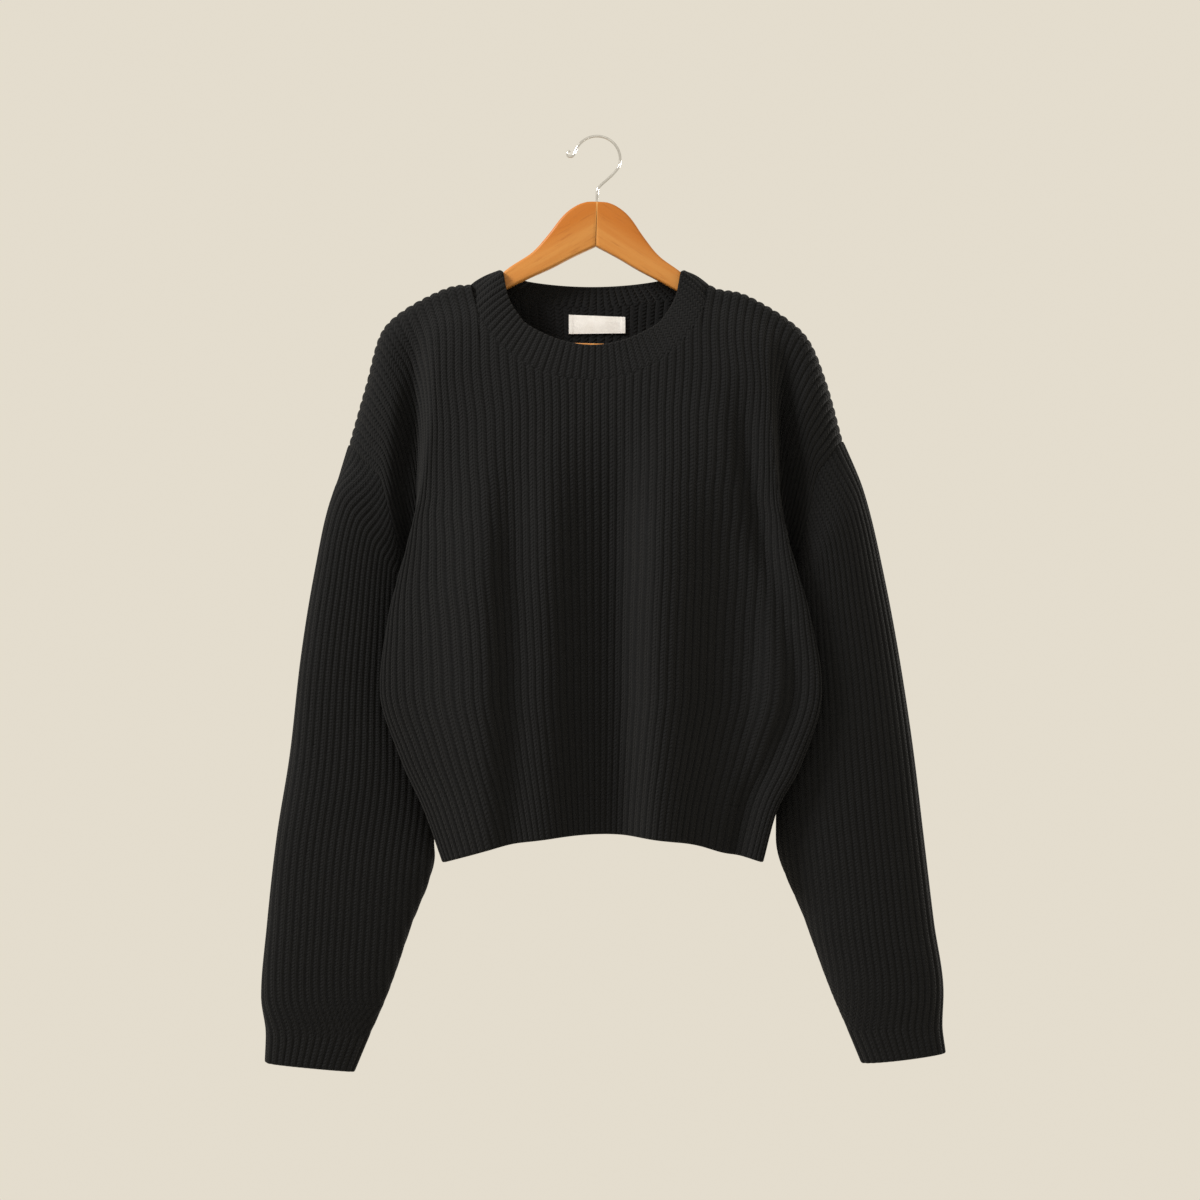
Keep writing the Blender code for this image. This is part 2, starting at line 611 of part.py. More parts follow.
def build_label(cloth):
    """The woven neck label, on the inside of the back just below the collar."""
    wales = np.linspace(-LABEL_WALES, LABEL_WALES, 29)
    down = np.repeat(np.linspace(*LABEL_DOWN, 51)[:, None], len(wales), 1)
    away = WALL / 2 + GAP + LABEL_WALL / 2
    lifted = panel_points(BACK, wales, down) - away * panel_normals(BACK, wales, down)
    heights = lifted[:, :, 2].mean(axis=1)
    across = np.linspace(-LABEL_WIDTH / 2, LABEL_WIDTH / 2, 7)
    points = np.empty((3, len(across), 3))
    for i, z in enumerate(np.linspace(LABEL_TOP_Z, LABEL_TOP_Z - LABEL_HEIGHT, 3)):
        row = np.argmin(np.abs(heights - z))
        y = np.interp(across, lifted[row, :, 0], lifted[row, :, 1])
        points[i] = np.stack([across, y, np.full_like(across, z)], 1)
    normals = unit(np.cross(np.gradient(points, axis=1), np.gradient(points, axis=0)))
    cloth_wall("neck_label", points, normals, cloth, LABEL_WALL)


def tilted(x, z):
    """A point of the hanger, turned by its tilt about the top of the crown."""
    turn = math.radians(HANGER_TILT)
    down = z - CROWN_Z
    across = x * math.cos(turn) + down * math.sin(turn)
    return across, CROWN_Z + down * math.cos(turn) - x * math.sin(turn)


def arm_outline():
    """The outline of one hanger arm, out from the middle: its top, its tip and its bottom."""
    top, bottom = np.array(ARM_TOP, float), np.array(ARM_BOTTOM, float)[::-1]
    reach = np.linspace(0, 1, ARM_STEPS)
    upper = smooth(top[:, 0], top, top[0, 0] + reach * (top[-1, 0] - top[0, 0]))
    lower = smooth(bottom[:, 0], bottom, bottom[0, 0] + reach * (bottom[-1, 0] - bottom[0, 0]))
    outline = np.concatenate([upper, np.array(ARM_TIP, float), lower[::-1]])
    outline[:, 0] = np.maximum(outline[:, 0], GAP / MM / 2)
    return outline * MM


def rod(name, radius, length, location, rotation, sides=24):
    """A round bar, along z before it is turned."""
    bpy.ops.mesh.primitive_cylinder_add(
        vertices=sides, radius=radius, depth=length, location=location, rotation=rotation
    )
    thing = bpy.context.object
    thing.name = name
    return thing


def cut(thing, tool):
    """Cuts the tool's shape out of a thing. The tool itself isn't part of the product."""
    tool.hide_render = True
    tool.display_type = "WIRE"
    modifier = thing.modifiers.new(tool.name, "BOOLEAN")
    modifier.operation = "DIFFERENCE"
    modifier.object = tool


def arm_plate(side, name, wood):
    """One arm's plate, from its outline, with the long edges rounded."""
    flat = [tilted(side * x, -z) for x, z in arm_outline()]
    points = [(x, y, z) for y in (-ARM_THICK / 2, ARM_THICK / 2) for x, z in flat]
    count = len(flat)
    faces = [tuple(range(count)), tuple(range(2 * count - 1, count - 1, -1))]
    faces += [((k + 1) % count, k, count + k, count + (k + 1) % count) for k in range(count)]
    if volume(np.array(points), faces) < 0:
        faces = [face[::-1] for face in faces]
    arm = new_object(name, points, faces, wood)
    bevel = arm.modifiers.new("rounded", "BEVEL")
    bevel.width = ARM_BEVEL
    bevel.segments = 2
    bevel.limit_method = "ANGLE"
    bevel.angle_limit = math.radians(SHARP_ANGLE)
    return arm


def build_arms(wood):
    """The hanger's two arms, with the sockets for the bar and the bore for the hook's wire."""
    bar_socket = along_bar("bar_socket", BAR_RADIUS + GAP, BAR_HALF + GAP)
    wire_bore = rod("wire_bore", WIRE_RADIUS + GAP, BORE_LENGTH, (0, 0, BORE_Z), (0, 0, 0), sides=16)
    for side, name in ((RIGHT, "hanger_arm_right"), (LEFT, "hanger_arm_left")):
        arm = arm_plate(side, name, wood)
        cut(arm, bar_socket)
        cut(arm, wire_bore)


def along_bar(name, radius, half_length):
    """A rod along the trouser bar's axis."""
    x, z = tilted(0, BAR_Z)
    sideways = (0, math.pi / 2 + math.radians(HANGER_TILT), 0)
    return rod(name, radius, 2 * half_length, (x, 0, z), sideways)


def build_bar(wood):
    """The trouser bar, let into both arms."""
    bar = along_bar("hanger_bar", BAR_RADIUS, BAR_HALF)
    bar.data.materials.append(wood)
    bar.data.shade_smooth()
    bar.data.set_sharp_from_angle(angle=math.radians(SHARP_ANGLE))


def hook_route():
    """The hook's wire, from its curled tip over the arc and down its stem."""
    turns = np.radians(np.linspace(HOOK_TO, HOOK_FROM, 26))
    centre_z = WIRE_RADIUS - HOOK_RADIUS
    arc = [(HOOK_RADIUS * math.cos(a), centre_z + HOOK_RADIUS * math.sin(a)) for a in turns]
    tip = [(x * MM, -z * MM) for x, z in HOOK_TIP[::-1]]
    neck = [(x * MM, -z * MM) for x, z in HOOK_NECK]
    return tip + arc + neck


def build_hook(steel):
    """The chromed wire hook."""
    route = hook_route()
    curve = bpy.data.curves.new("hanger_hook", "CURVE")
    curve.dimensions = "3D"
    curve.bevel_depth = WIRE_RADIUS
    curve.bevel_resolution = 2
    curve.use_fill_caps = True
    spline = curve.splines.new("POLY")
    spline.points.add(len(route) - 1)
    for point, (x, z) in zip(spline.points, route):
        point.co = (x, 0, z, 1)
    spline.use_smooth = True
    curve.materials.append(steel)
    bpy.context.collection.objects.link(bpy.data.objects.new("hanger_hook", curve))


def main():
    for thing in list(bpy.data.objects):
        bpy.data.objects.remove(thing, do_unlink=True)
    knit = new_material("black_knit", (0.012, 0.012, 0.011), 0.95)
    woven = new_material("label_cloth", (0.75, 0.73, 0.69), 0.8)
    wood = new_material("varnished_wood", (0.62, 0.26, 0.07), 0.35)
    steel = new_material("chromed_wire", (0.8, 0.8, 0.8), 0.15, 1.0)
    panels = build_body_and_sleeves(knit)
    build_collar(knit, panels)
    build_hem(knit)
    build_cuffs(knit)
    build_label(woven)
    build_arms(wood)
    build_bar(wood)
    build_hook(steel)


main()
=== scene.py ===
"""The looks of the crew neck sweater and its hanger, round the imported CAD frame.

Metres, +Z up, with the wearer's front at -Y, as in the CAD. The cloth follows the CAD's own tables
of courses and rings, read closely enough to knit the ribs in. Its folds are a little deeper, and
it settles a little more beside the neck. Left and right are the wearer's own.
"""

import math
from functools import lru_cache

import bpy
import numpy as np
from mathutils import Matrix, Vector


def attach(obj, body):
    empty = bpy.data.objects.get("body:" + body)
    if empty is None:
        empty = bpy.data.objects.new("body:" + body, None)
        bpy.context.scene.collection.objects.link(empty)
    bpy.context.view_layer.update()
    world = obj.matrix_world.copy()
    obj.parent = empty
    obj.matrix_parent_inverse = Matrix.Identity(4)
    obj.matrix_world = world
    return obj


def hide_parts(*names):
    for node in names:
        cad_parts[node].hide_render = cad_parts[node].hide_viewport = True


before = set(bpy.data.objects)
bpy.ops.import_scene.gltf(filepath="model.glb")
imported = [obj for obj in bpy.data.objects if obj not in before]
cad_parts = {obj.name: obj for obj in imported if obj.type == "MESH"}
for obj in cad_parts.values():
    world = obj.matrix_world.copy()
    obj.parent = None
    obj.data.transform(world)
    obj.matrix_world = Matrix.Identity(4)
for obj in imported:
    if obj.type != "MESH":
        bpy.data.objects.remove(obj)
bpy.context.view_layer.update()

MM = 0.001
RIGHT, LEFT = -1, 1
FRONT, BACK = -1, 1

WALL = 3.0 * MM  # the knit, with the ribs' relief on top
GAP = 0.3 * MM  # between pieces that are sewn or glued together

# The body's courses, one row each, from the shoulder line to the hem's edge, in mm: how far down
# the course is knitted, the height of its middle below the origin, and how far it stands from
# the plane y = 0 at the middle and halfway to the rim, then on the back at the other stations.
COURSE_COLUMNS = (
    "down", "middle_z", "front_middle", "front_half", "back_middle", "back_half",
    "back_rim", "back_valley", "back_cap", "back_edge",
)
COURSES = (
    (0, 108, 0.15, 0.15, 0.15, 0.15, 0.15, 0.15, 0.15, 0.15),
    (9, 111, 9, 9, 9, 9, 9, 9, 9, 8),
    (20, 123, 13, 13, 12, 12, 12, 12, 12, 10),
    (45, 149, 22, 23, 15, 16, 16, 14, 12, 13),
    (90, 198, 31, 34, 17, 20, 20, 12, 10, 16),
    (150, 263, 41, 45, 21, 23, 22, 15, 10, 11),
    (215, 332, 47, 51, 24, 26, 24, 22, 13, 0.15),
    (290, 408, 51, 55, 26, 28, 25, 21, 14, 0.15),
    (350, 468, 51, 55, 26, 28, 25, 21, 14, 0.15),
    (410, 528, 49, 52, 25, 27, 24, 20, 13, 0.15),
    (450, 574, 46, 48, 25, 26, 23, 18, 12, 0.15),
    (485, 610, 45, 46, 25, 25, 22, 17, 11, 0.15),
)

# The rest of each course on the two sides, in mm: out from the middle, down from the origin and
# forward of the plane y = 0. The rim is the fold that edges the front, the valley is behind it,
# the cap is the cloth that drops past the hanger's tip, and the edge is the armhole or side seam.
SIDE_COLUMNS = (
    "down", "rim_x", "rim_z", "rim_y", "valley_x", "valley_z", "valley_y",
    "cap_x", "cap_z", "cap_y", "edge_x", "edge_z", "edge_y",
)
RIGHT_SIDE = (
    (0, 150, 142, 0.15, 188, 171, 0.15, 202, 218, 0.15, 217, 271, 0.15),
    (9, 149, 144, 9, 185, 173, 9, 198, 220, 9, 213, 274, 8),
    (20, 143, 154, 14, 176, 182, 14, 190, 228, 15, 205, 284, 13),
    (45, 141, 179, 25, 163, 201, 11, 180, 247, 18, 189, 301, 18),
    (90, 140, 225, 34, 159, 264, 4, 173, 303, 9, 181, 336, 23),
    (150, 146, 288, 42, 158, 323, 6, 163, 350, 8, 168, 374, 14),
    (215, 161, 355, 44, 156, 384, 21, 146, 396, 14, 141, 402, 0.15),
    (290, 180, 430, 42, 167, 444, 23, 151, 453, 13, 139, 458, 0.15),
    (350, 186, 485, 40, 168, 495, 23, 150, 500, 13, 135, 504, 0.15),
    (410, 168, 545, 38, 157, 551, 22, 142, 555, 12, 127, 557, 0.15),
    (450, 148, 589, 36, 142, 590, 21, 131, 589, 11, 120, 588, 0.15),
    (485, 132, 634, 35, 129, 632, 20, 122, 629, 10, 115, 626, 0.15),
)
LEFT_SIDE = (
    (0, 148, 149, 0.15, 184, 177, 0.15, 200, 214, 0.15, 215, 268, 0.15),
    (9, 147, 151, 9, 181, 179, 9, 196, 216, 9, 211, 271, 8),
    (20, 145, 162, 14, 173, 189, 14, 188, 226, 16, 204, 281, 14),
    (45, 147, 188, 25, 164, 208, 14, 180, 246, 21, 191, 299, 21),
    (90, 148, 232, 36, 161, 268, 7, 175, 303, 14, 184, 335, 26),
    (150, 152, 291, 44, 160, 322, 9, 166, 350, 9, 173, 372, 16),
    (215, 164, 355, 45, 161, 382, 22, 152, 396, 14, 147, 402, 0.15),
    (290, 184, 428, 44, 173, 443, 25, 158, 452, 14, 145, 458, 0.15),
    (350, 193, 486, 42, 177, 496, 25, 158, 501, 14, 142, 504, 0.15),
    (410, 174, 551, 40, 165, 555, 24, 150, 558, 13, 136, 560, 0.15),
    (450, 154, 589, 38, 150, 590, 22, 140, 589, 12, 129, 588, 0.15),
    (485, 142, 634, 36, 138, 631, 20, 132, 628, 11, 124, 625, 0.15),
)
HEM_SEAM = 451  # down, where the hem band is knitted on
HEM_EDGE = 485
UNDERARM = 215
LEVELS = np.append(np.arange(0, HEM_EDGE, 5.0), HEM_EDGE)  # the courses that panels are read from
# Each side's places in a whole course of stations: its edge, its rim and half way to the rim.
SIDE_PLACES = ((RIGHT, 0, 3, 4), (LEFT, 10, 7, 6))
MIDDLE_PLACE = 5
LINE_POINTS = 160  # points on half a course
HALF_PANEL = 215 * MM  # about how far a panel's middle is from its side, along a course
WALE_STEP, DOWN_STEP = 0.004, 1.5  # either side of a point, for its normal
FOLDS_START, FOLDS_FULL = 115, 250  # down, where the body's folds begin and are full
FOLDS_END = 0.6  # of the way from the edge to the rim: the folds don't come further out

# How much further out each course's ribs lie, halfway out to its edge: down in mm, and the share
# of the half course. Below the underarm the folds take up cloth, so the ribs lie further in.
RIB_SHIFT = ((0, 0), (45, 0), (120, -0.003), (150, 0.009), (165, 0.021), (180, 0.031),
             (195, 0.032), (215, 0.027), (250, 0.014), (290, -0.01), (320, -0.024), (350, -0.034),
             (380, -0.028), (410, -0.022), (450, -0.008), (485, -0.003))

# The body's long vertical folds, in mm: x at the top and at the hem, how far the fold stands out
# (a valley is negative) and its half widths to the right and to the left of its crest.
FRONT_FOLDS = (
    (-99, -97, 16, 36, 12),
    (-42, -47, 10, 15, 14),
    (17, 20, -14, 24, 13),
    (57, 54, 16, 15, 27),
    (160, 118, -15, 40, 14),
)
BACK_FOLDS = (
    (-118, -100, 4, 26, 26),
    (-50, -42, -6, 20, 20),
    (22, 28, 4, 22, 22),
    (98, 84, -6, 24, 24),
)
# A valley that follows the left front's rim, in mm: how far inside the rim, how deep, its half
# width, where down it begins and where it is full.
RIM_INSIDE, RIM_DEEP, RIM_HALF_WIDTH = 22, 9, 9
RIM_VALLEY_START, RIM_VALLEY_FULL = 70, 140
RIM_ROUND = 8 * MM  # how far in from the rim the valley fades out

# The neck opening, in mm: half widths from the middle to the collar's seam, how far the seam
# drops below the shoulder line, and the collar's free edge.
NECK_HALF = {RIGHT: 111, LEFT: 98}
NECK_TOP_Z = -121
NECK_DROP = {FRONT: 95, BACK: 26.5}
COLLAR_HALF = {RIGHT: 84, LEFT: 75}
COLLAR_RISE = 1.3 * MM  # how far the band bows up over the hanger's arms
COLLAR_LAP = 0.05 * MM  # how far the band reaches past the neck's seam
COLLAR_TURN = 0.7  # of the band's depth, where its wall starts to turn into the panels'
# The free edge's rows: degrees round from the shoulder, out from the plane y = 0, and down. The
# last row is the one at 45 degrees again, which leaves the edge level in the middle.
COLLAR_EDGE = {
    FRONT: ((0, 0, 118), (11, 8.5, 119), (23, 14, 141), (34, 17, 155), (45, 20, 166.5),
            (90, 28, 185), (135, 20, 166.5)),
    BACK: ((0, 0, 118), (11, 8.5, 118.3), (23, 12, 119.5), (34, 14, 121.5), (45, 15, 125),
           (90, 17, 129.5), (135, 15, 125)),
}
# Between the neck and the shoulders the cloth settles, in mm: out from the middle, how far down
# and over what half width, and over what half width forward and back.
SETTLE_X, SETTLE_DEEP, SETTLE_HALF, SETTLE_HALF_Y = 104, 6.5, 16, 30

# The sleeves' rings below the armhole, in mm: the outer fold, the inner fold, and how far the
# sleeve stands forward and back of the line between them.
SLEEVE_COLUMNS = ("along", "outer_x", "outer_z", "inner_x", "inner_z", "forward", "behind")
RIGHT_SLEEVE = (
    (42, 229, 312, 156, 416, 29, 18),
    (118, 246, 385, 158, 462, 29, 19),
    (195, 258, 460, 157, 518, 28, 20),
    (275, 267, 540, 151, 576, 27, 20),
    (352, 279, 615, 144, 630, 26, 20),
    (428, 287.5, 690, 166, 697, 23, 19),
    (494, 293, 755, 187, 757, 19, 17),
    (526, 289, 787, 202, 791, 14, 13),
    (554, 290, 813, 215, 822, 12, 12),
)
LEFT_SLEEVE = (
    (45, 233, 312, 162, 416, 32, 18),
    (120, 250.5, 385, 163, 462, 31, 19),
    (197, 264.5, 460, 163, 518, 30, 20),
    (278, 276.5, 540, 159, 570, 28, 20),
    (354, 285.5, 615, 159, 618, 26, 20),
    (430, 294.5, 690, 185, 690, 23, 19),
    (494, 303, 753, 209, 755, 19, 17),
    (522, 302, 780, 222, 785, 14, 13),
    (548, 305, 806, 234, 814, 12, 12),
)
SLEEVES = {RIGHT: RIGHT_SLEEVE, LEFT: LEFT_SLEEVE}
# Below 1, a sleeve is fullest towards its outer fold, and above 1 towards its inner one.
SLEEVE_LEAN = {RIGHT: 0.55, LEFT: 1.15}

LABEL_WIDTH, LABEL_HEIGHT, LABEL_TOP_Z = 50 * MM, 17 * MM, -154.5 * MM
LABEL_WALL = 1.0 * MM
LABEL_SLANT = 2.0 * MM  # how far its top edge drops towards the left
LABEL_WALES = 0.14  # the label lies within these wales, either side of the back's middle
LABEL_DOWN = (25, 75)  # and within this far down, in mm
LABEL_SLANT_SHARES = (1, -0.3)  # of the slant, at its top and its bottom edge
LABEL_FOLD = (3.2 * MM, 3.8 * MM)  # in from its ends, where the tape goes from double to single
LABEL_SINGLE = 0.45  # of its full thickness
LABEL_SAG = 0.3 * MM
LABEL_COLUMNS, LABEL_ROWS = 61, 21
BACK_ACROSS, BACK_DOWN = 57, 51  # places where the back is read behind the label

# The hanger, in mm. Each arm is a plate between two edges: out from the middle, then down. It
# hangs a little lower on the left.
ARM_THICK = 10.5 * MM
ARM_TOP = ((0, 56.8), (7, 57), (14, 58.8), (20, 62), (26, 66.5), (32.5, 73.7), (39, 83),
           (45, 90.8), (52, 99.3), (58, 104.9), (64.5, 109.4), (71, 113.6), (77, 118),
           (85, 125.5), (96, 136), (111, 145), (134, 154), (158, 164), (172, 174))
ARM_TIP = ((180, 182), (184, 190), (182, 198), (175, 202))
ARM_BOTTOM = ((166, 199), (150, 187), (118, 161), (81, 138), (60, 126.7), (38, 116), (20, 106),
              (0, 96))
ARM_STEPS = 60  # points along each of an arm's edges
TIP_STEPS = 25  # and round its tip
ROUND_STEPS = 5  # rows round an arm's edge
JOINT_HALF = 0.02 * MM  # half of the gap between the arms
ARM_SHARP = 40  # degrees
ARM_BEVEL = 2.4 * MM
HANGER_TILT = 1.6  # degrees, about the top of the crown
CROWN_Z = -56.8 * MM
BAR_RADIUS, BAR_Z, BAR_HALF = 4.5 * MM, -185.7 * MM, 176 * MM
BAR_STEPS = 12  # points along it
WIRE_RADIUS = 1.2 * MM
TUBE_ROUNDNESS = 6  # the bevel resolution of the wire and the bar
HOOK_RADIUS = 20.4 * MM
HOOK_FROM, HOOK_TO = -16, 164  # degrees round the hook's arc
HOOK_ARC_STEPS, HOOK_STEPS = 40, 180  # points on the arc, and along the whole wire
HOOK_NECK = ((15.2, 31.0), (9.0, 37.0), (3.2, 42.2), (0.4, 46.0), (0, 52), (0, 64), (0, 76))
HOOK_TIP = ((-22.6, 16.8), (-25.2, 16.6), (-26.0, 14.2), (-24.0, 11.6))

JOINED_ROW = 150  # the first course that the neck doesn't cut short
NECK_PROBE = 140  # the neck is looked for this far down

# The rib knit. A half of the front or back has this many ribs from its middle to its edge.
RIBS_HALF = 37.5
RIB_COLUMNS = 8  # mesh columns across a rib
RIB_HEIGHT = 1.35 * MM  # from the groove to the crest
RIB_ROUNDNESS = 0.75
RIB_MEAN = 0.6  # how much of a rib's height lies inside the wall's own outer face
INNER_RIB = 0.9 * MM  # on the inside, where the grooves are cut into the wall
SLEEVE_RIB = 6.2 * MM  # from crest to crest
COLLAR_RIBS = 82
COLLAR_COLUMNS = 411  # half way round
COLLAR_ROWS = (0, 0.008, 0.03, 0.06, 0.1, 0.16, 0.24, 0.34, 0.44, 0.54, 0.64, 0.74, 0.83, 0.9,
               0.95, 0.98, 1)
COLLAR_INNER_RIB = 1.5 * MM
COURSE_HEIGHT = 3.1 * MM  # of one row of stitches
SEAM_DIP, SEAM_REACH = 0.22, 2.0 * MM  # how far a seam draws the knit in, and how far off
HEM_DIP = 0.08  # the same where the hem band is knitted on
EDGE_ROUND = WALL / 2
WALL_SHARP = 62  # degrees: a wall's cut ends are sharper than its ribs
HEM_ROWS = (0.02, 1, 2.5, 5, 8.5, 12.5, 17, 21.5, 26, 29.5, 31.6, 32.8, 33.6, 34)
# The panels' rows, in mm down: close over the shoulder, then even to the hem band.
SHOULDER_ROWS = (0, 0.6, 1.4, 2.6, 4, 6, 8.5, 11.5, 15, 19, 23.5, 28.5, 34)
BODY_ROWS = np.append(SHOULDER_ROWS, np.linspace(40, HEM_SEAM, 66))
# The sleeves' rows, in mm along: close at the armhole, then even to the cuff, which has its own.
SLEEVE_AROUND = 400  # mesh columns
ARMHOLE_ROWS = (0.02, 0.8, 2, 3.6, 5.8, 8.6, 12.2)
EVEN_FROM, EVEN_ROWS = 17, 100
CUFF_ROWS = (0, 1, 2.5, 5, 8, 11.5, 15, 18.5, 21.5, 23.7, 25, 25.8, 26)
ARMHOLE_TURN = 9.0  # mm along, over which the sleeve's wall turns from the panels' to its own
ARMHOLE_READS, RING_READS = 60, 90  # places where an armhole and half a ring are worked out

# Colours: the knit on a rib's crest, painted shade in its groove, its paler fibres, its worn
# patches.
KNIT_CREST, KNIT_PAINTED_GROOVE_SHADE = (0.0070, 0.0073, 0.0080), (0.0054, 0.0057, 0.0064)
KNIT_PALE, KNIT_WORN = (0.0142, 0.0146, 0.0157), (0.0054, 0.0056, 0.0062)
KNIT_SHEEN = (0.55, 0.54, 0.52, 1)
FIBRES, HEATHER, PATCHES = 900.0, 380.0, 14.0  # of the noise textures, to the metre
STITCH_SLANT = -1.5  # rows of stitches to a rib's width, which make the legs of the Vs
STITCH_DEPTH = 0.6 * MM
WOOD_LIGHT, WOOD_DARK = (0.50, 0.215, 0.048), (0.41, 0.128, 0.012)
WOOD_PORE = (0.24, 0.065, 0.008)
GRAIN_STRETCH = (0.06, 1, 1)  # along the arm
GRAIN_BANDS, GRAIN_PORES = 170.0, 900.0  # to the metre, across it
PORE_DEPTH = 0.1 * MM
WOOD_BAND = (12 * MM, 30 * MM)  # above an arm's lower edge, where the lighter band fades out
JOINT_LINE = (0.62, 0.33, 0.10)  # between the hanger's arms
JOINT_WIDTH = (0.3 * MM, 0.9 * MM)  # off the joint, where that line fades out
ARM_SLOPE = math.atan2(91, 150)  # of the grain
CHROME_BRIGHT, CHROME_DULL = (0.66, 0.65, 0.63), (0.52, 0.51, 0.49)
TAPE_WHITE, TAPE_SHADE = (0.86, 0.85, 0.84), (0.80, 0.78, 0.76)
WARP_PITCH, WEFT_PITCH = 0.5 * MM, 0.6 * MM
WEAVE_DEPTH = 0.12 * MM

CAMERA_PLACE = (0.0026, -2.3, -0.407)
CAMERA_LENS, CAMERA_SENSOR = 78.4, 36.0
WALL_TONE = (0.775, 0.720, 0.615, 1)
FLOOR_TONE = (0.56, 0.525, 0.46)
FLOOR_MOTTLE = 0.94  # of its tone, where it is darkest
FLOOR_Z, FLOOR_RADIUS = -1.5, 2.0
# The lights: name, place, target, size, power in watts and colour.
LIGHTS = (
    ("key", (-2.0, -1.2, 1.25), (0, 0, -0.4), 0.8, 92.0, (1.0, 0.97, 0.93)),
    ("fill", (0.2, -2.4, 1.4), (0, 0, -0.4), 1.6, 4.0, (1.0, 0.98, 0.95)),
    ("edge", (1.9, 1.1, -0.2), (0.1, 0, -0.45), 0.8, 40.0, (1.0, 0.97, 0.93)),
)


def smooth(knots, values, at):
    """Values on a smooth curve through the knots, which never overshoots them."""
    knots, values, at = np.asarray(knots, float), np.asarray(values, float), np.asarray(at, float)
    shape = values.shape[1:]
    values = values.reshape(len(knots), -1)
    step = np.diff(knots)[:, None]
    slope = np.diff(values, axis=0) / step
    tangent = np.zeros_like(values)
    tangent[0], tangent[-1] = slope[0], slope[-1]
    before, after = 2 * step[1:] + step[:-1], step[1:] + 2 * step[:-1]
    with np.errstate(divide="ignore", invalid="ignore"):
        mean = (before + after) / (before / slope[:-1] + after / slope[1:])
    tangent[1:-1] = np.where(slope[:-1] * slope[1:] > 0, mean, 0)
    i = np.clip(np.searchsorted(knots, at, side="right") - 1, 0, len(step) - 1)
    u = (at - knots[i])[..., None] / step[i]
    start, end = values[i], values[i + 1]
    out = (1 + 2 * u) * (1 - u) ** 2 * start + u * (1 - u) ** 2 * step[i] * tangent[i]
    out = out + u**2 * (3 - 2 * u) * end + u**2 * (u - 1) * step[i] * tangent[i + 1]
    return out.reshape(at.shape + shape)


def ramp(value, start, end):
    """0 before start and 1 after end, with a smooth change between."""
    u = np.clip((value - start) / (end - start), 0, 1)
    return u * u * (3 - 2 * u)


def reader(columns, table):
    """A function that gives a named column of a table, in metres, at any place down or along."""
    rows = np.array(table, float)
    return lambda name, at: MM * smooth(rows[:, 0], rows[:, columns.index(name)], at)


def unit(vectors):
    """Vectors at length 1."""
    return vectors / np.maximum(np.linalg.norm(vectors, axis=-1, keepdims=True), 1e-12)


def reached_along(line):
    """How far along a line each of its points lies."""
    steps = np.linalg.norm(np.diff(line, axis=0), axis=1)
    return np.concatenate([[0], np.cumsum(steps)])


def read_line(values, places, at):
    """Rows of values that are given at places, read at other places."""
    return np.stack([np.interp(at, places, column) for column in values.T], -1)


def along_line(line, shares):
    """Points at the given shares of a line's length."""
    reached = reached_along(line)
    return read_line(line, reached, shares * reached[-1])


def along_course(half, shares):
    """Points at the given shares of half a course, from the middle out. The folds don't count."""
    return read_line(half, np.linspace(0, 1, len(half)), shares)


def opening(halves):
    """The middle and the half width of an opening, from its half widths in mm on the two sides."""
    return (halves[LEFT] - halves[RIGHT]) / 2 * MM, (halves[LEFT] + halves[RIGHT]) / 2 * MM


course = reader(COURSE_COLUMNS, COURSES)
side_course = {RIGHT: reader(SIDE_COLUMNS, RIGHT_SIDE), LEFT: reader(SIDE_COLUMNS, LEFT_SIDE)}
sleeve_ring = {side: reader(SLEEVE_COLUMNS, rings) for side, rings in SLEEVES.items()}


def side_stations(face, side, down):
    """The stations of one course from half way to the rim out to its edge."""
    read = side_course[side]
    depth = {name: read(f"{name}_y", down) for name in ("rim", "valley", "cap", "edge")}
    if face == BACK:
        depth = {name: course(f"back_{name}", down) for name in depth}
    half = course("front_half" if face == FRONT else "back_half", down)
    middle_z = course("middle_z", down)
    rim_x, rim_z = read("rim_x", down), read("rim_z", down)
    points = [(side * 0.5 * rim_x, face * half, -(0.75 * middle_z + 0.25 * rim_z))]
    for name in ("rim", "valley", "cap", "edge"):
        x, z = read(f"{name}_x", down), read(f"{name}_z", down)
        points.append((side * x, face * depth[name], -z))
    return points


def fold_offset(face, x, down):
    """How far the long folds push the cloth out at x on one course."""
    offset = np.zeros_like(x)
    for top_x, hem_x, stands_out, right, left in FRONT_FOLDS if face == FRONT else BACK_FOLDS:
        from_crest = x / MM - top_x - (hem_x - top_x) * down / HEM_EDGE
        half_width = np.where(from_crest < 0, right, left)
        offset += stands_out * np.exp(-0.5 * (from_crest / half_width) ** 2)
    return MM * offset * ramp(down, FOLDS_START, FOLDS_FULL)


def rim_valley(x, down):
    """How deep the valley inside the left front's rim is at x on one course."""
    from_valley = x / MM - side_course[LEFT]("rim_x", down) / MM + RIM_INSIDE
    depth = MM * RIM_DEEP * np.exp(-0.5 * (from_valley / RIM_HALF_WIDTH) ** 2)
    return depth * ramp(down, RIM_VALLEY_START, RIM_VALLEY_FULL)


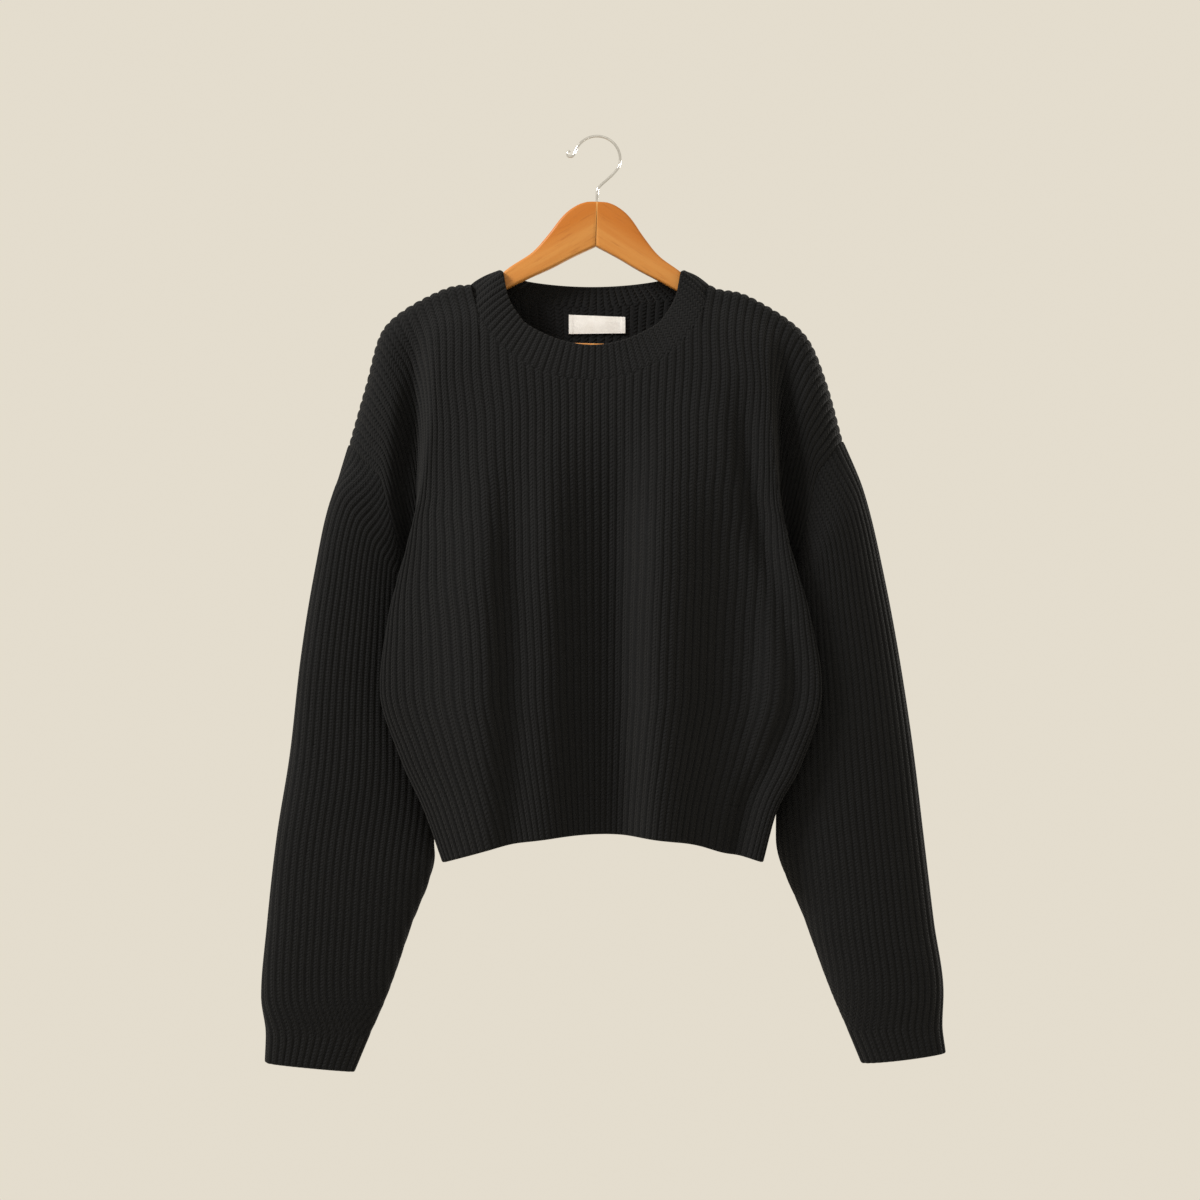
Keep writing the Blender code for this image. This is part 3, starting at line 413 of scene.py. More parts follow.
@lru_cache(maxsize=None)
def course_line(face, down):
    """One whole course in two halves: from the middle to the right edge, and to the left one."""
    middle = course("front_middle" if face == FRONT else "back_middle", down)
    right, left = (side_stations(face, side, down) for side in (RIGHT, LEFT))
    centre = (0.0, face * middle, -course("middle_z", down))
    stations = np.array(right[::-1] + [centre] + left, float)
    knots = reached_along(stations)
    halves = []
    for side, end, rim, half in SIDE_PLACES:
        at = np.linspace(knots[MIDDLE_PLACE], knots[end], LINE_POINTS)
        line = smooth(knots, stations, at)
        from_edge = np.abs(at - knots[end])
        to_rim, to_half = abs(knots[rim] - knots[end]), abs(knots[half] - knots[end])
        push = fold_offset(face, line[:, 0], down) * ramp(from_edge, FOLDS_END * to_rim, to_half)
        if (face, side) == (FRONT, LEFT):
            push -= rim_valley(line[:, 0], down) * ramp(from_edge, to_rim, to_rim + RIM_ROUND)
        line[:, 1] += face * push
        halves.append(line)
    return halves


def settle(points):
    """The points, lowered a little between the neck and the shoulders."""
    out = (np.abs(points[..., 0]) / MM - SETTLE_X) / SETTLE_HALF
    forward = points[..., 1] / MM / SETTLE_HALF_Y
    lower = np.zeros_like(points)
    lower[..., 2] = SETTLE_DEEP * MM * np.exp(-(out**2) - forward**2)
    return points - lower


def panel_points(face, wales, down):
    """Points of the front or the back, at wales from -1 (the right edge) to 1; down has a row for
    each course, with a value for each wale."""
    shares = np.abs(wales)
    shift = np.array(RIB_SHIFT)
    grid = []
    for level in LEVELS:
        placed = shares + 4 * smooth(shift[:, 0], shift[:, 1], level) * shares * (1 - shares)
        right, left = (along_course(half, placed) for half in course_line(face, level))
        grid.append(np.where(wales[:, None] < 0, right, left))
    grid = np.array(grid)
    columns = [smooth(LEVELS, grid[:, j], down[:, j]) for j in range(len(wales))]
    return settle(np.stack(columns, axis=1))


def panel_normals(face, wales, down):
    """The panel's unit normals, out of the garment, which lie in the plane y = 0 along the seams
    in that plane."""
    right, left = np.maximum(wales - WALE_STEP, -1), np.minimum(wales + WALE_STEP, 1)
    above, below = np.maximum(down - DOWN_STEP, 0), np.minimum(down + DOWN_STEP, HEM_EDGE)
    across = panel_points(face, left, down) - panel_points(face, right, down)
    along = panel_points(face, wales, below) - panel_points(face, wales, above)
    normals = face * unit(np.cross(across, along))
    sides = (np.abs(wales) > 1 - 1e-9) & (down >= UNDERARM)
    normals[sides | (down <= 0), 1] = 0
    return unit(normals)


@lru_cache(maxsize=None)
def neck_share(side):
    """The wale where the collar's seam meets the shoulder seam."""
    half = course_line(FRONT, 0.0)[0 if side == RIGHT else 1]
    return np.interp(NECK_HALF[side] * MM, np.abs(half[:, 0]), np.linspace(0, 1, len(half)))


def neck_down(face, wales):
    """How far down each wale starts: 0 on the shoulders, and the neck's curve between them."""
    centre, half = opening(NECK_HALF)
    probe = np.linspace(0, NECK_PROBE, NECK_PROBE + 1)
    points = panel_points(face, wales, np.repeat(probe[:, None], len(wales), 1))
    across = (points[:, :, 0] - centre) / half
    drop = (NECK_TOP_Z * MM - points[:, :, 2]) / (NECK_DROP[face] * MM)
    outside = across**2 + np.maximum(drop, 0) ** 2 - 1
    ends = np.where(wales < 0, neck_share(RIGHT), neck_share(LEFT))
    start = np.zeros(len(wales))
    for j in np.where((np.abs(wales) <= ends + 1e-9) & (outside[0] < 0))[0]:
        k = int(np.argmax(outside[:, j] > 0))
        start[j] = probe[k] - outside[k, j] / (outside[k, j] - outside[k - 1, j])
    return start


def panel_rows(start):
    """The panels' rows on each wale: those above the joined row are squeezed below its start."""
    rows = BODY_ROWS[:, None]
    return np.where(rows < JOINED_ROW, start + (JOINED_ROW - start) * rows / JOINED_ROW, rows)


def ring_normals(points):
    """Unit normals of rings of points, out from their middles."""
    down = np.gradient(points, axis=0)
    across = np.roll(points, -1, axis=1) - np.roll(points, 1, axis=1)
    normals = unit(np.cross(across, down))
    out = points - points.mean(axis=1, keepdims=True)
    return normals * np.sign(np.mean(np.sum(normals * out, axis=-1)))


def collar_edge(face, turn):
    """The collar's free edge, where turn goes from the right shoulder (0) to the left one (pi)."""
    rows = np.array(COLLAR_EDGE[face], float)
    centre, half = opening(COLLAR_HALF)
    degrees = np.degrees(np.minimum(turn, math.pi - turn))
    y, z = (MM * smooth(rows[:, 0], rows[:, k], degrees) for k in (1, 2))
    return np.stack([centre - half * np.cos(turn), face * y, -z], 1)


def rib_wave(phase):
    """The height of a rib, from 0 in the groove to 1 on the crest, which is at whole phases."""
    return np.abs(np.cos(math.pi * phase)) ** RIB_ROUNDNESS


def seam_relief(distance, dip=SEAM_DIP):
    """How much of the wall's height is left at this distance from a seam."""
    return 1 - dip * np.exp(-((distance / SEAM_REACH) ** 2))


def edge_round(distance):
    """How much of the wall's thickness is left at this distance from a free edge."""
    u = np.clip(distance / EDGE_ROUND, 0, 1)
    return np.sqrt(np.maximum(1 - (1 - u) ** 2, 0.0))


def link(name, data):
    """A new object for a mesh, a curve, a light or a camera, in the scene."""
    thing = bpy.data.objects.new(name, data)
    bpy.context.collection.objects.link(thing)
    return thing


def mesh_piece(name, points, faces, material, sharp):
    """A smoothly shaded mesh, with sharp edges past this angle in degrees."""
    mesh = bpy.data.meshes.new(name)
    mesh.from_pydata(points, [], faces)
    mesh.materials.append(material)
    mesh.shade_smooth()
    mesh.set_sharp_from_angle(angle=math.radians(sharp))
    return link(name, mesh)


def wall_quads(rows, columns, wide, closed):
    """The quads of a wall between two grids of points, and their corners' places in a UV grid
    that is this many columns wide. The inner points are numbered on from the outer ones."""
    count = rows * columns
    row, column = np.arange(rows - 1), np.arange(columns if closed else columns - 1)
    i, j = np.meshgrid(row, column, indexing="ij")
    k = (j + 1) % columns
    above, below = i * columns, (i + 1) * columns
    outer = np.stack([above + j, above + k, below + k, below + j], -1).reshape(-1, 4)
    above, below = i * wide, (i + 1) * wide
    marks = np.stack([above + j, above + j + 1, below + j + 1, below + j], -1).reshape(-1, 4)
    strips = [(outer, marks), (outer[:, ::-1] + count, marks[:, ::-1])]

    # The wall's edges: outer points and the next ones along, then the same in the UV grid.
    j, k = column, (column + 1) % columns
    last, last_mark = (rows - 1) * columns, (rows - 1) * wide
    edges = [(k, j, j + 1, j), (last + j, last + k, last_mark + j, last_mark + j + 1)]
    if not closed:
        near, near_mark = row * columns, row * wide
        far, far_mark = near + columns - 1, near_mark + wide - 1
        edges.append((near, near + columns, near_mark, near_mark + wide))
        edges.append((far + columns, far, far_mark + wide, far_mark))
    for a, b, mark_a, mark_b in edges:
        strips.append((np.stack([a, b, count + b, count + a], -1),
                       np.stack([mark_a, mark_b, mark_b, mark_a], -1)))
    return [np.concatenate(part) for part in zip(*strips)]


def wall_mesh(name, outer, inner, phase, rise, material, closed=False):
    """A closed wall between two grids of points. phase and rise are the UV map, ribs across and
    stitches along: whole grids, or one row of phase and one column of rise. A closed wall has one
    more column of phase than of points."""
    phase, rise = np.broadcast_arrays(phase, rise)
    faces, marks = wall_quads(*outer.shape[:2], phase.shape[1], closed)
    points = np.concatenate([outer.reshape(-1, 3), inner.reshape(-1, 3)])
    if signed_volume(points, faces) < 0:
        faces, marks = faces[:, ::-1], marks[:, ::-1]
    piece = mesh_piece(name, points, faces.tolist(), material, WALL_SHARP)
    uv = np.stack([phase, rise], -1).reshape(-1, 2)[marks.ravel()]
    layer = piece.data.uv_layers.new(name="knit")
    layer.uv.foreach_set("vector", uv.astype(np.float32).ravel())
    return piece


def signed_volume(points, faces):
    """Six times the volume of a closed mesh of quads, negative if its faces look inwards."""
    a, b, c, d = (points[faces[:, k]] for k in range(4))
    return float(np.sum(a * np.cross(b, c)) + np.sum(a * np.cross(c, d)))


def row_steps(points):
    """How far along its column each point of a grid lies from the first row."""
    steps = np.linalg.norm(np.diff(points, axis=0), axis=2)
    return np.concatenate([np.zeros((1, points.shape[1])), np.cumsum(steps, axis=0)])


def ribbed(points, normals, phase, outer_scale, inner_scale, inner_rib=INNER_RIB):
    """The outer and the inner face of a ribbed wall about a grid of points."""
    out = (WALL / 2 + RIB_HEIGHT * (rib_wave(phase) - RIB_MEAN)) * outer_scale
    back = (-WALL / 2 + inner_rib * (1 - rib_wave(phase + 0.5))) * inner_scale
    return points + normals * out[..., None], points + normals * back[..., None]


def fine_wales():
    """The wales that the panels' mesh columns follow."""
    even = np.linspace(-1, 1, int(2 * RIBS_HALF * RIB_COLUMNS) + 1)
    ends = [-neck_share(RIGHT), neck_share(LEFT)]
    return np.unique(np.concatenate([even, ends]))


def armhole_line(face, side):
    """The armhole's edge on one face, closely spaced."""
    rows = np.linspace(0, UNDERARM, UNDERARM + 1)[:, None]
    line = panel_points(face, np.array([float(side)]), rows)[:, 0]
    line[[0, -1], 1] = 0
    return line


def armhole_normals(side, around):
    """The panels' normals round one armhole, at the sleeve's places around it."""
    rows = np.linspace(0, UNDERARM, ARMHOLE_READS)
    edge = np.array([float(side)])
    normals = {}
    for face in (FRONT, BACK):
        reached = reached_along(armhole_line(face, side))
        places = np.interp(rows, np.linspace(0, UNDERARM, len(reached)), reached / reached[-1])
        found = panel_normals(face, edge, rows[:, None])[:, 0]
        normals[face] = unit(read_line(found, places, np.abs(around)))
    return np.where((around < 0)[:, None], normals[BACK], normals[FRONT])


def sleeve_lines(side, along, around):
    """Points of a sleeve at even shares of each half ring: around runs from -1 at the inner fold
    over the back to 0 at the outer fold and over the front to 1 at the inner fold again."""
    read = sleeve_ring[side]
    stations = [row[0] for row in SLEEVES[side]]
    turn = np.linspace(0, math.pi, RING_READS)
    rings = []
    for station in [0] + stations:
        ring = np.empty((len(around), 3))
        for face, mine in ((FRONT, around >= 0), (BACK, around < 0)):
            if station == 0:
                line = armhole_line(face, side)
            else:
                outer = np.array([side * read("outer_x", station), 0, -read("outer_z", station)])
                inner = np.array([side * read("inner_x", station), 0, -read("inner_z", station)])
                depth = read("forward" if face == FRONT else "behind", station)
                line = (outer + inner) / 2 + np.cos(turn)[:, None] * (outer - inner) / 2
                leaning = math.pi * (turn / math.pi) ** SLEEVE_LEAN[side]
                line[:, 1] += face * depth * np.sin(leaning)
            ring[mine] = along_line(line, np.abs(around)[mine])
        rings.append(ring)
    return smooth([0] + stations, np.array(rings), np.asarray(along, float))


def ring_length(points, middle=0):
    """How far round from the middle column each point of a ring lies, negative before it."""
    reached = row_steps(points.swapaxes(0, 1)).T
    return reached - reached[:, middle:middle + 1]


def from_underarm(points):
    """How far each point of a sleeve lies from the underarm seam."""
    reached = ring_length(points)
    return np.minimum(reached, reached[:, -1:] - reached)


def sleeve_normals(points):
    """Unit normals of rings given from the inner fold round to the inner fold again."""
    normals = ring_normals(points[:, :-1])
    return np.concatenate([normals, normals[:, :1]], axis=1)


def ring_wall(name, points, normals, phase, rise, outer_scale, inner_scale, material,
              inner_rib=INNER_RIB):
    """A ribbed tube. Its first and last column are the same place, so one of them is dropped."""
    outer, inner = ribbed(points, normals, phase, outer_scale, inner_scale, inner_rib)
    outer[:, 0] = (outer[:, 0] + outer[:, -1]) / 2
    inner[:, 0] = (inner[:, 0] + inner[:, -1]) / 2
    return wall_mesh(name, outer[:, :-1], inner[:, :-1], phase, rise, material, closed=True)


def build_panel(name, face, knit):
    """The front or the back, from the shoulder seams and the neck down to the hem band."""
    wales = fine_wales()
    down = panel_rows(neck_down(face, wales))
    points = panel_points(face, wales, down)
    normals = panel_normals(face, wales, down)
    phase = (wales * RIBS_HALF)[None]
    to_side = (1 - np.abs(wales)) * HALF_PANEL
    scale = seam_relief(row_steps(points)) * seam_relief(to_side)
    outer, inner = ribbed(points, normals, phase, scale, np.ones_like(scale))
    return wall_mesh(name, outer, inner, phase, down * MM / COURSE_HEIGHT, knit)


def build_sleeve(side, name, knit):
    """One sleeve, with the ribs' phase round its last ring, where the cuff's ribs run on."""
    cuff_seam = SLEEVES[side][-2][0]
    around = np.linspace(-1, 1, SLEEVE_AROUND + 1)
    along = np.append(ARMHOLE_ROWS, np.linspace(EVEN_FROM, cuff_seam, EVEN_ROWS))
    points = sleeve_lines(side, along, around)
    near = np.exp(-((along / ARMHOLE_TURN) ** 2))[:, None, None]
    normals = unit(sleeve_normals(points) * (1 - near) + armhole_normals(side, around) * near)
    phase = ring_length(points, SLEEVE_AROUND // 2) / SLEEVE_RIB
    rise = along[:, None] * MM / COURSE_HEIGHT
    scale = seam_relief(row_steps(points)) * seam_relief(from_underarm(points))
    sleeve = ring_wall(name, points, normals, phase, rise, scale, np.ones_like(scale), knit)
    return sleeve, phase[-1:]


def build_cuff(side, name, phase, knit):
    """One cuff, down from the sleeve's last ring, whose phase it keeps."""
    cuff_seam, cuff_edge = (row[0] for row in SLEEVES[side][-2:])
    around = np.linspace(-1, 1, SLEEVE_AROUND + 1)
    along = cuff_seam + np.array(CUFF_ROWS) / CUFF_ROWS[-1] * (cuff_edge - cuff_seam)
    rise = along[:, None] * MM / COURSE_HEIGHT
    points = sleeve_lines(side, along, around)
    steps = row_steps(points)
    rounded = edge_round(steps[-1] - steps)
    scale = rounded * seam_relief(from_underarm(points))
    return ring_wall(name, points, sleeve_normals(points), phase, rise, scale, rounded, knit)


def build_hem(knit):
    """The ribbed hem band below the front and the back."""
    wales = fine_wales()
    down = np.repeat(HEM_SEAM + np.array(HEM_ROWS)[:, None], len(wales), 1)
    parts = []
    for make in (panel_points, panel_normals):
        front, back = (make(face, wales, down) for face in (FRONT, BACK))
        parts.append(np.concatenate([front, back[:, -2:0:-1], front[:, :1]], axis=1))
    points, normals = parts
    for j in (0, len(wales) - 1, -1):
        points[:, j, 1] = 0
    front_phase = wales * RIBS_HALF
    back_phase = front_phase[-1] + np.cumsum(np.abs(np.diff(front_phase)))
    phase = np.concatenate([front_phase, back_phase])[None]
    rise = down[:, :1] * MM / COURSE_HEIGHT
    steps = row_steps(points)
    rounded = edge_round(steps[-1] - steps)
    scale = rounded * seam_relief(steps, HEM_DIP)
    return ring_wall("hem_band_knit", points, normals, phase, rise, scale, rounded, knit)


def collar_lines(face):
    """The collar's seam, the panel's normals along it, and the collar's free edge, on one face."""
    turn = -np.cos(np.linspace(0, math.pi, 4 * COLLAR_COLUMNS))
    shares = np.where(turn < 0, turn * neck_share(RIGHT), turn * neck_share(LEFT))
    start = neck_down(face, shares)[None]
    seam = panel_points(face, shares, start)[0]
    seam[[0, -1], 1] = 0
    normals = panel_normals(face, shares, start)[0]
    edge = collar_edge(face, np.linspace(0, math.pi, 4 * COLLAR_COLUMNS))
    edge[[0, -1], 1] = 0
    even = np.linspace(0, 1, COLLAR_COLUMNS)
    places = reached_along(seam)
    places /= places[-1]
    normals = unit(read_line(normals, places, even))
    return read_line(seam, places, even), normals, along_line(edge, even)


def build_collar(knit):
    """The ribbed neckband, from its free edge down to the neck's seam."""
    front, back = collar_lines(FRONT), collar_lines(BACK)
    seam, seam_normals, edge = (np.concatenate([f, b[-2:0:-1]]) for f, b in zip(front, back))
    tangent = unit(np.roll(seam, -1, axis=0) - np.roll(seam, 1, axis=0))
    off_seam = unit(np.cross(seam_normals, tangent))
    off_seam *= np.sign(np.sum(off_seam * (edge - seam), axis=1, keepdims=True))
    sewn = seam - COLLAR_LAP * off_seam
    middle = (edge + sewn) / 2
    around = np.linspace(0, 2 * math.pi, len(seam), endpoint=False)
    middle[:, 2] += COLLAR_RISE * np.cos(around) ** 4
    points = smooth([0, 0.5, 1], np.array([edge, middle, sewn]), COLLAR_ROWS)
    points = np.concatenate([points, points[:, :1]], axis=1)
    normals = ring_normals(points[:, :-1])
    near = ramp(np.array(COLLAR_ROWS), COLLAR_TURN, 1.0)[:, None, None]
    normals = unit(normals * (1 - near) + seam_normals * near)
    normals = np.concatenate([normals, normals[:, :1]], axis=1)
    steps = row_steps(points)
    length = ring_length(points)[len(COLLAR_ROWS) // 2]
    phase = (length / length[-1] * COLLAR_RIBS)[None]
    rise = steps / COURSE_HEIGHT
    scale = edge_round(steps) * seam_relief(steps[-1] - steps)
    return ring_wall("collar_band_knit", points, normals, phase, rise, scale, scale, knit,
                     COLLAR_INNER_RIB)


def feed(tree, node, sources):
    """Links a node's inputs, by name or by number, to other nodes' outputs, or sets them."""
    for key, source in sources.items():
        if isinstance(source, bpy.types.NodeSocket):
            tree.links.new(source, node.inputs[key])
        else:
            node.inputs[key].default_value = source


def add(tree, kind, sources=None, **settings):
    """A shader node with these properties set and its inputs fed."""
    node = tree.nodes.new(kind)
    for key, value in settings.items():
        setattr(node, key, value)
    feed(tree, node, sources or {})
    return node


def calc(tree, operation, *sources):
    """The output of a math node."""
    return add(tree, "ShaderNodeMath", dict(enumerate(sources)), operation=operation).outputs[0]


def blend(tree, factor, a, b):
    """A mix of two colours, given as numbers or sockets."""
    node = add(tree, "ShaderNodeMix", {"Factor": factor}, data_type="RGBA")
    places = [i for i, socket in enumerate(node.inputs) if socket.type == "RGBA"]
    colours = [c if isinstance(c, bpy.types.NodeSocket) else (*c, 1) for c in (a, b)]
    feed(tree, node, dict(zip(places, colours)))
    return [socket for socket in node.outputs if socket.type == "RGBA"][0]


def ramp_node(tree, value, low, high, to_low=0.0, to_high=1.0):
    """A value eased from one range into another."""
    sources = {"Value": value, "From Min": low, "From Max": high, "To Min": to_low,
               "To Max": to_high}
    node = add(tree, "ShaderNodeMapRange", sources, interpolation_type="SMOOTHSTEP")
    return node.outputs["Result"]


def noise(tree, vector, scale, detail=2.0, roughness=0.5):
    """A noise texture's value."""
    sources = {"Vector": vector, "Scale": scale, "Detail": detail, "Roughness": roughness}
    return add(tree, "ShaderNodeTexNoise", sources).outputs["Fac"]


def object_place(tree):
    """The place on the object, in metres."""
    return add(tree, "ShaderNodeTexCoord").outputs["Object"]


def parts_of(tree, vector):
    """A vector's X, Y and Z."""
    return add(tree, "ShaderNodeSeparateXYZ", {"Vector": vector}).outputs


def mapped(tree, vector, name, value):
    """A vector, turned or scaled: name is Rotation or Scale."""
    return add(tree, "ShaderNodeMapping", {"Vector": vector, name: value}).outputs["Vector"]


def bumped(tree, height, distance, strength):
    """The surface's normal, with a bump of this height and its depth in metres."""
    sources = {"Height": height, "Distance": distance, "Strength": strength}
    return add(tree, "ShaderNodeBump", sources).outputs["Normal"]


def new_material(name):
    """A material with only a Principled shader in it, and its tree and shader."""
    material = bpy.data.materials.new(name)
    material.use_nodes = True
    tree = material.node_tree
    return material, tree, tree.nodes["Principled BSDF"]


def knit_material():
    """Black rib knit: stitches in rows of Vs along each rib, a fuzz of short fibres, and painted
    shade in the grooves.
    """
    material, tree, shader = new_material("black_knit_cloth")
    place = object_place(tree)
    parts = parts_of(tree, add(tree, "ShaderNodeUVMap", uv_map="knit").outputs["UV"])
    across = calc(tree, "PINGPONG", parts["X"], 0.5)
    slant = calc(tree, "MULTIPLY_ADD", across, STITCH_SLANT, parts["Y"])
    wave = calc(tree, "SINE", calc(tree, "MULTIPLY", slant, 2 * math.pi))
    legs = ramp_node(tree, across, 0.0, 0.09)
    stitches = calc(tree, "ADD", calc(tree, "MULTIPLY", wave, 0.5), legs)
    height = calc(tree, "MULTIPLY_ADD", noise(tree, place, FIBRES, 3.0, 0.6), 1.6, stitches)
    heather = noise(tree, place, HEATHER)
    patches = noise(tree, place, PATCHES)
    # Painted shade: the knit darkens from each rib's crest into its groove.
    colour = blend(tree, ramp_node(tree, across, 0.12, 0.5), KNIT_CREST, KNIT_PAINTED_GROOVE_SHADE)
    colour = blend(tree, ramp_node(tree, heather, 0.4, 0.75, 0.0, 0.4), colour, KNIT_PALE)
    colour = blend(tree, ramp_node(tree, patches, 0.35, 0.7, 0.0, 0.35), colour, KNIT_WORN)
    feed(tree, shader, {
        "Base Color": colour,
        "Roughness": ramp_node(tree, heather, 0.2, 0.8, 0.85, 1.0),
        "Normal": bumped(tree, height, STITCH_DEPTH, 0.8),
        "Specular IOR Level": 0.12,
        "Sheen Weight": 0.06,
        "Sheen Roughness": 0.5,
        "Sheen Tint": KNIT_SHEEN,
    })
    return material


def joint_line(tree, place):
    """How much of the line between the hanger's arms shows."""
    parts = parts_of(tree, place)
    lean = math.tan(math.radians(HANGER_TILT))
    down = calc(tree, "SUBTRACT", parts["Z"], CROWN_Z)
    off_joint = calc(tree, "ABSOLUTE", calc(tree, "MULTIPLY_ADD", down, -lean, parts["X"]))
    return ramp_node(tree, off_joint, *JOINT_WIDTH, 0.8, 0.0)


def wood_material(name, side, slope):
    """Varnished pale wood, with the grain along the arm and a lighter band by its lower edge."""
    material, tree, shader = new_material(name)
    place = object_place(tree)
    turn = -side * slope - math.radians(HANGER_TILT)
    along_grain = mapped(tree, place, "Rotation", (0, turn, 0))
    stretched = mapped(tree, along_grain, "Scale", GRAIN_STRETCH)
    bands = noise(tree, stretched, GRAIN_BANDS, 3.0, 0.6)
    pores = noise(tree, stretched, GRAIN_PORES)
    lower_edge = ARM_BOTTOM[-1][1] * MM * math.cos(slope)
    above = calc(tree, "ADD", parts_of(tree, along_grain)["Z"], lower_edge)
    colour = blend(tree, ramp_node(tree, above, *WOOD_BAND), WOOD_LIGHT, WOOD_DARK)
    colour = blend(tree, ramp_node(tree, bands, 0.35, 0.75, 0.0, 0.5), colour, WOOD_DARK)
    colour = blend(tree, ramp_node(tree, pores, 0.58, 0.75, 0.0, 0.35), colour, WOOD_PORE)
    colour = blend(tree, joint_line(tree, place), colour, JOINT_LINE)
    feed(tree, shader, {
        "Base Color": colour,
        "Roughness": ramp_node(tree, bands, 0.3, 0.7, 0.34, 0.46),
        "Normal": bumped(tree, pores, PORE_DEPTH, 0.3),
        "Specular IOR Level": 0.25,
        "Coat Weight": 0.12,
        "Coat Roughness": 0.22,
    })
    return material


def chrome_material():
    """Bright chromed wire, very slightly worn."""
    material, tree, shader = new_material("chromed_wire_bright")
    marks = noise(tree, object_place(tree), 700.0, 3.0)
    colour = blend(tree, ramp_node(tree, marks, 0.4, 0.8), CHROME_BRIGHT, CHROME_DULL)
    roughness = ramp_node(tree, marks, 0.3, 0.8, 0.10, 0.24)
    feed(tree, shader, {"Base Color": colour, "Roughness": roughness, "Metallic": 1.0})
    return material


def label_material():
    """White satin-woven label tape."""
    material, tree, shader = new_material("white_woven_tape")
    place = object_place(tree)
    parts = parts_of(tree, place)
    warp, weft = (calc(tree, "SINE", calc(tree, "MULTIPLY", parts[axis], 2 * math.pi / pitch))
                  for axis, pitch in (("X", WARP_PITCH), ("Z", WEFT_PITCH)))
    cloudy = noise(tree, place, 90.0)
    colour = blend(tree, ramp_node(tree, cloudy, 0.3, 0.7), TAPE_WHITE, TAPE_SHADE)
    feed(tree, shader, {
        "Base Color": colour,
        "Roughness": ramp_node(tree, cloudy, 0.3, 0.7, 0.55, 0.7),
        "Normal": bumped(tree, calc(tree, "MULTIPLY", warp, weft), WEAVE_DEPTH, 0.6),
        "Sheen Weight": 0.3,
    })
    return material


def label_points(across, levels):
    """The label's middle: across the back's inner face at these heights, and flat."""
    wales = np.linspace(-LABEL_WALES, LABEL_WALES, BACK_ACROSS)
    down = np.repeat(np.linspace(*LABEL_DOWN, BACK_DOWN)[:, None], BACK_ACROSS, 1)
    away = WALL / 2 + GAP + LABEL_WALL / 2
    lifted = panel_points(BACK, wales, down) - away * panel_normals(BACK, wales, down)
    heights = lifted[:, :, 2].mean(axis=1)
    rows = [np.argmin(np.abs(heights - z)) for z in levels]
    y = np.mean([np.interp(across, lifted[row, :, 0], lifted[row, :, 1]) for row in rows], axis=0)
    x, z = np.meshgrid(across, levels)
    return np.stack([x, np.broadcast_to(y, x.shape), z], -1)


def build_label(cloth):
    """The blank neck label: a strip of tape with its ends folded under and tacked down."""
    u, v = np.linspace(-0.5, 0.5, LABEL_COLUMNS), np.linspace(0, -1, LABEL_ROWS)
    points = label_points(u * LABEL_WIDTH, LABEL_TOP_Z + v * LABEL_HEIGHT)
    slant = np.linspace(*LABEL_SLANT_SHARES, LABEL_ROWS)
    points[:, :, 2] -= LABEL_SLANT * np.outer(slant, u + 0.5)
    folded = 1 - ramp((0.5 - np.abs(u)) * LABEL_WIDTH, *LABEL_FOLD)
    half_wall = LABEL_WALL / 2 * (LABEL_SINGLE + (1 - LABEL_SINGLE) * folded)
    sag = LABEL_SAG * np.outer(np.sin(math.pi * v) ** 2, np.cos(math.pi * u) ** 2)
    outer, inner = points.copy(), points.copy()
    outer[:, :, 1] -= half_wall + sag
    inner[:, :, 1] += half_wall
    return wall_mesh("neck_label_tape", outer, inner, u[None], v[:, None], cloth)


def tilted(x, z):
    """A point of the hanger, turned by its tilt about the top of the crown."""
    turn = math.radians(HANGER_TILT)
    down = z - CROWN_Z
    return x * np.cos(turn) + down * np.sin(turn), CROWN_Z + down * np.cos(turn) - x * np.sin(turn)


def arm_outline():
    """The outline of one hanger arm, out from the middle: its top, its tip and its bottom."""
    top, bottom = np.array(ARM_TOP, float), np.array(ARM_BOTTOM, float)[::-1]
    reach = np.linspace(0, 1, ARM_STEPS)
    upper = smooth(top[:, 0], top, top[0, 0] + reach * (top[-1, 0] - top[0, 0]))
    lower = smooth(bottom[:, 0], bottom, bottom[0, 0] + reach * (bottom[-1, 0] - bottom[0, 0]))
    tip = np.array([ARM_TOP[-1], *ARM_TIP, ARM_BOTTOM[0]], float)
    round_tip = smooth(np.arange(len(tip)), tip, np.linspace(0, len(tip) - 1, TIP_STEPS)[1:-1])
    return np.concatenate([upper, round_tip, lower[::-1]]) * MM


def arm_rings(side):
    """An arm's outline from its front face to its back one, drawn in at the rounded edges."""
    outline = arm_outline()
    ahead = np.roll(outline, -1, axis=0) - np.roll(outline, 1, axis=0)
    ahead[0], ahead[-1] = outline[1] - outline[0], outline[-1] - outline[-2]
    inward = unit(np.stack([-ahead[:, 1], ahead[:, 0]], 1))
    turns = np.linspace(0, math.pi / 2, ROUND_STEPS)
    layers = [(-ARM_THICK / 2 + ARM_BEVEL * (1 - math.cos(a)), ARM_BEVEL * (1 - math.sin(a)))
              for a in turns]
    layers += [(-y, inset) for y, inset in layers[::-1]]
    rings = []
    for y, inset in layers:
        ring = outline + inward * inset
        x, z = tilted(side * np.maximum(ring[:, 0], JOINT_HALF), -ring[:, 1])
        rings.append(np.stack([x, np.full_like(x, y), z], 1))
    return rings


def build_arm(side, name, wood):
    """One hanger arm: its outline between two flat faces, with rounded edges."""
    rings = arm_rings(side)
    points = np.concatenate(rings)
    count = len(rings[0])
    faces = [tuple(range(count)), tuple(range(len(points) - 1, len(points) - 1 - count, -1))]
    for i in range(len(rings) - 1):
        for j in range(count):
            k = (j + 1) % count
            faces.append((i * count + k, i * count + j, (i + 1) * count + j, (i + 1) * count + k))
    if side == LEFT:
        faces = [face[::-1] for face in faces]
    return mesh_piece(name, points, faces, wood, ARM_SHARP)


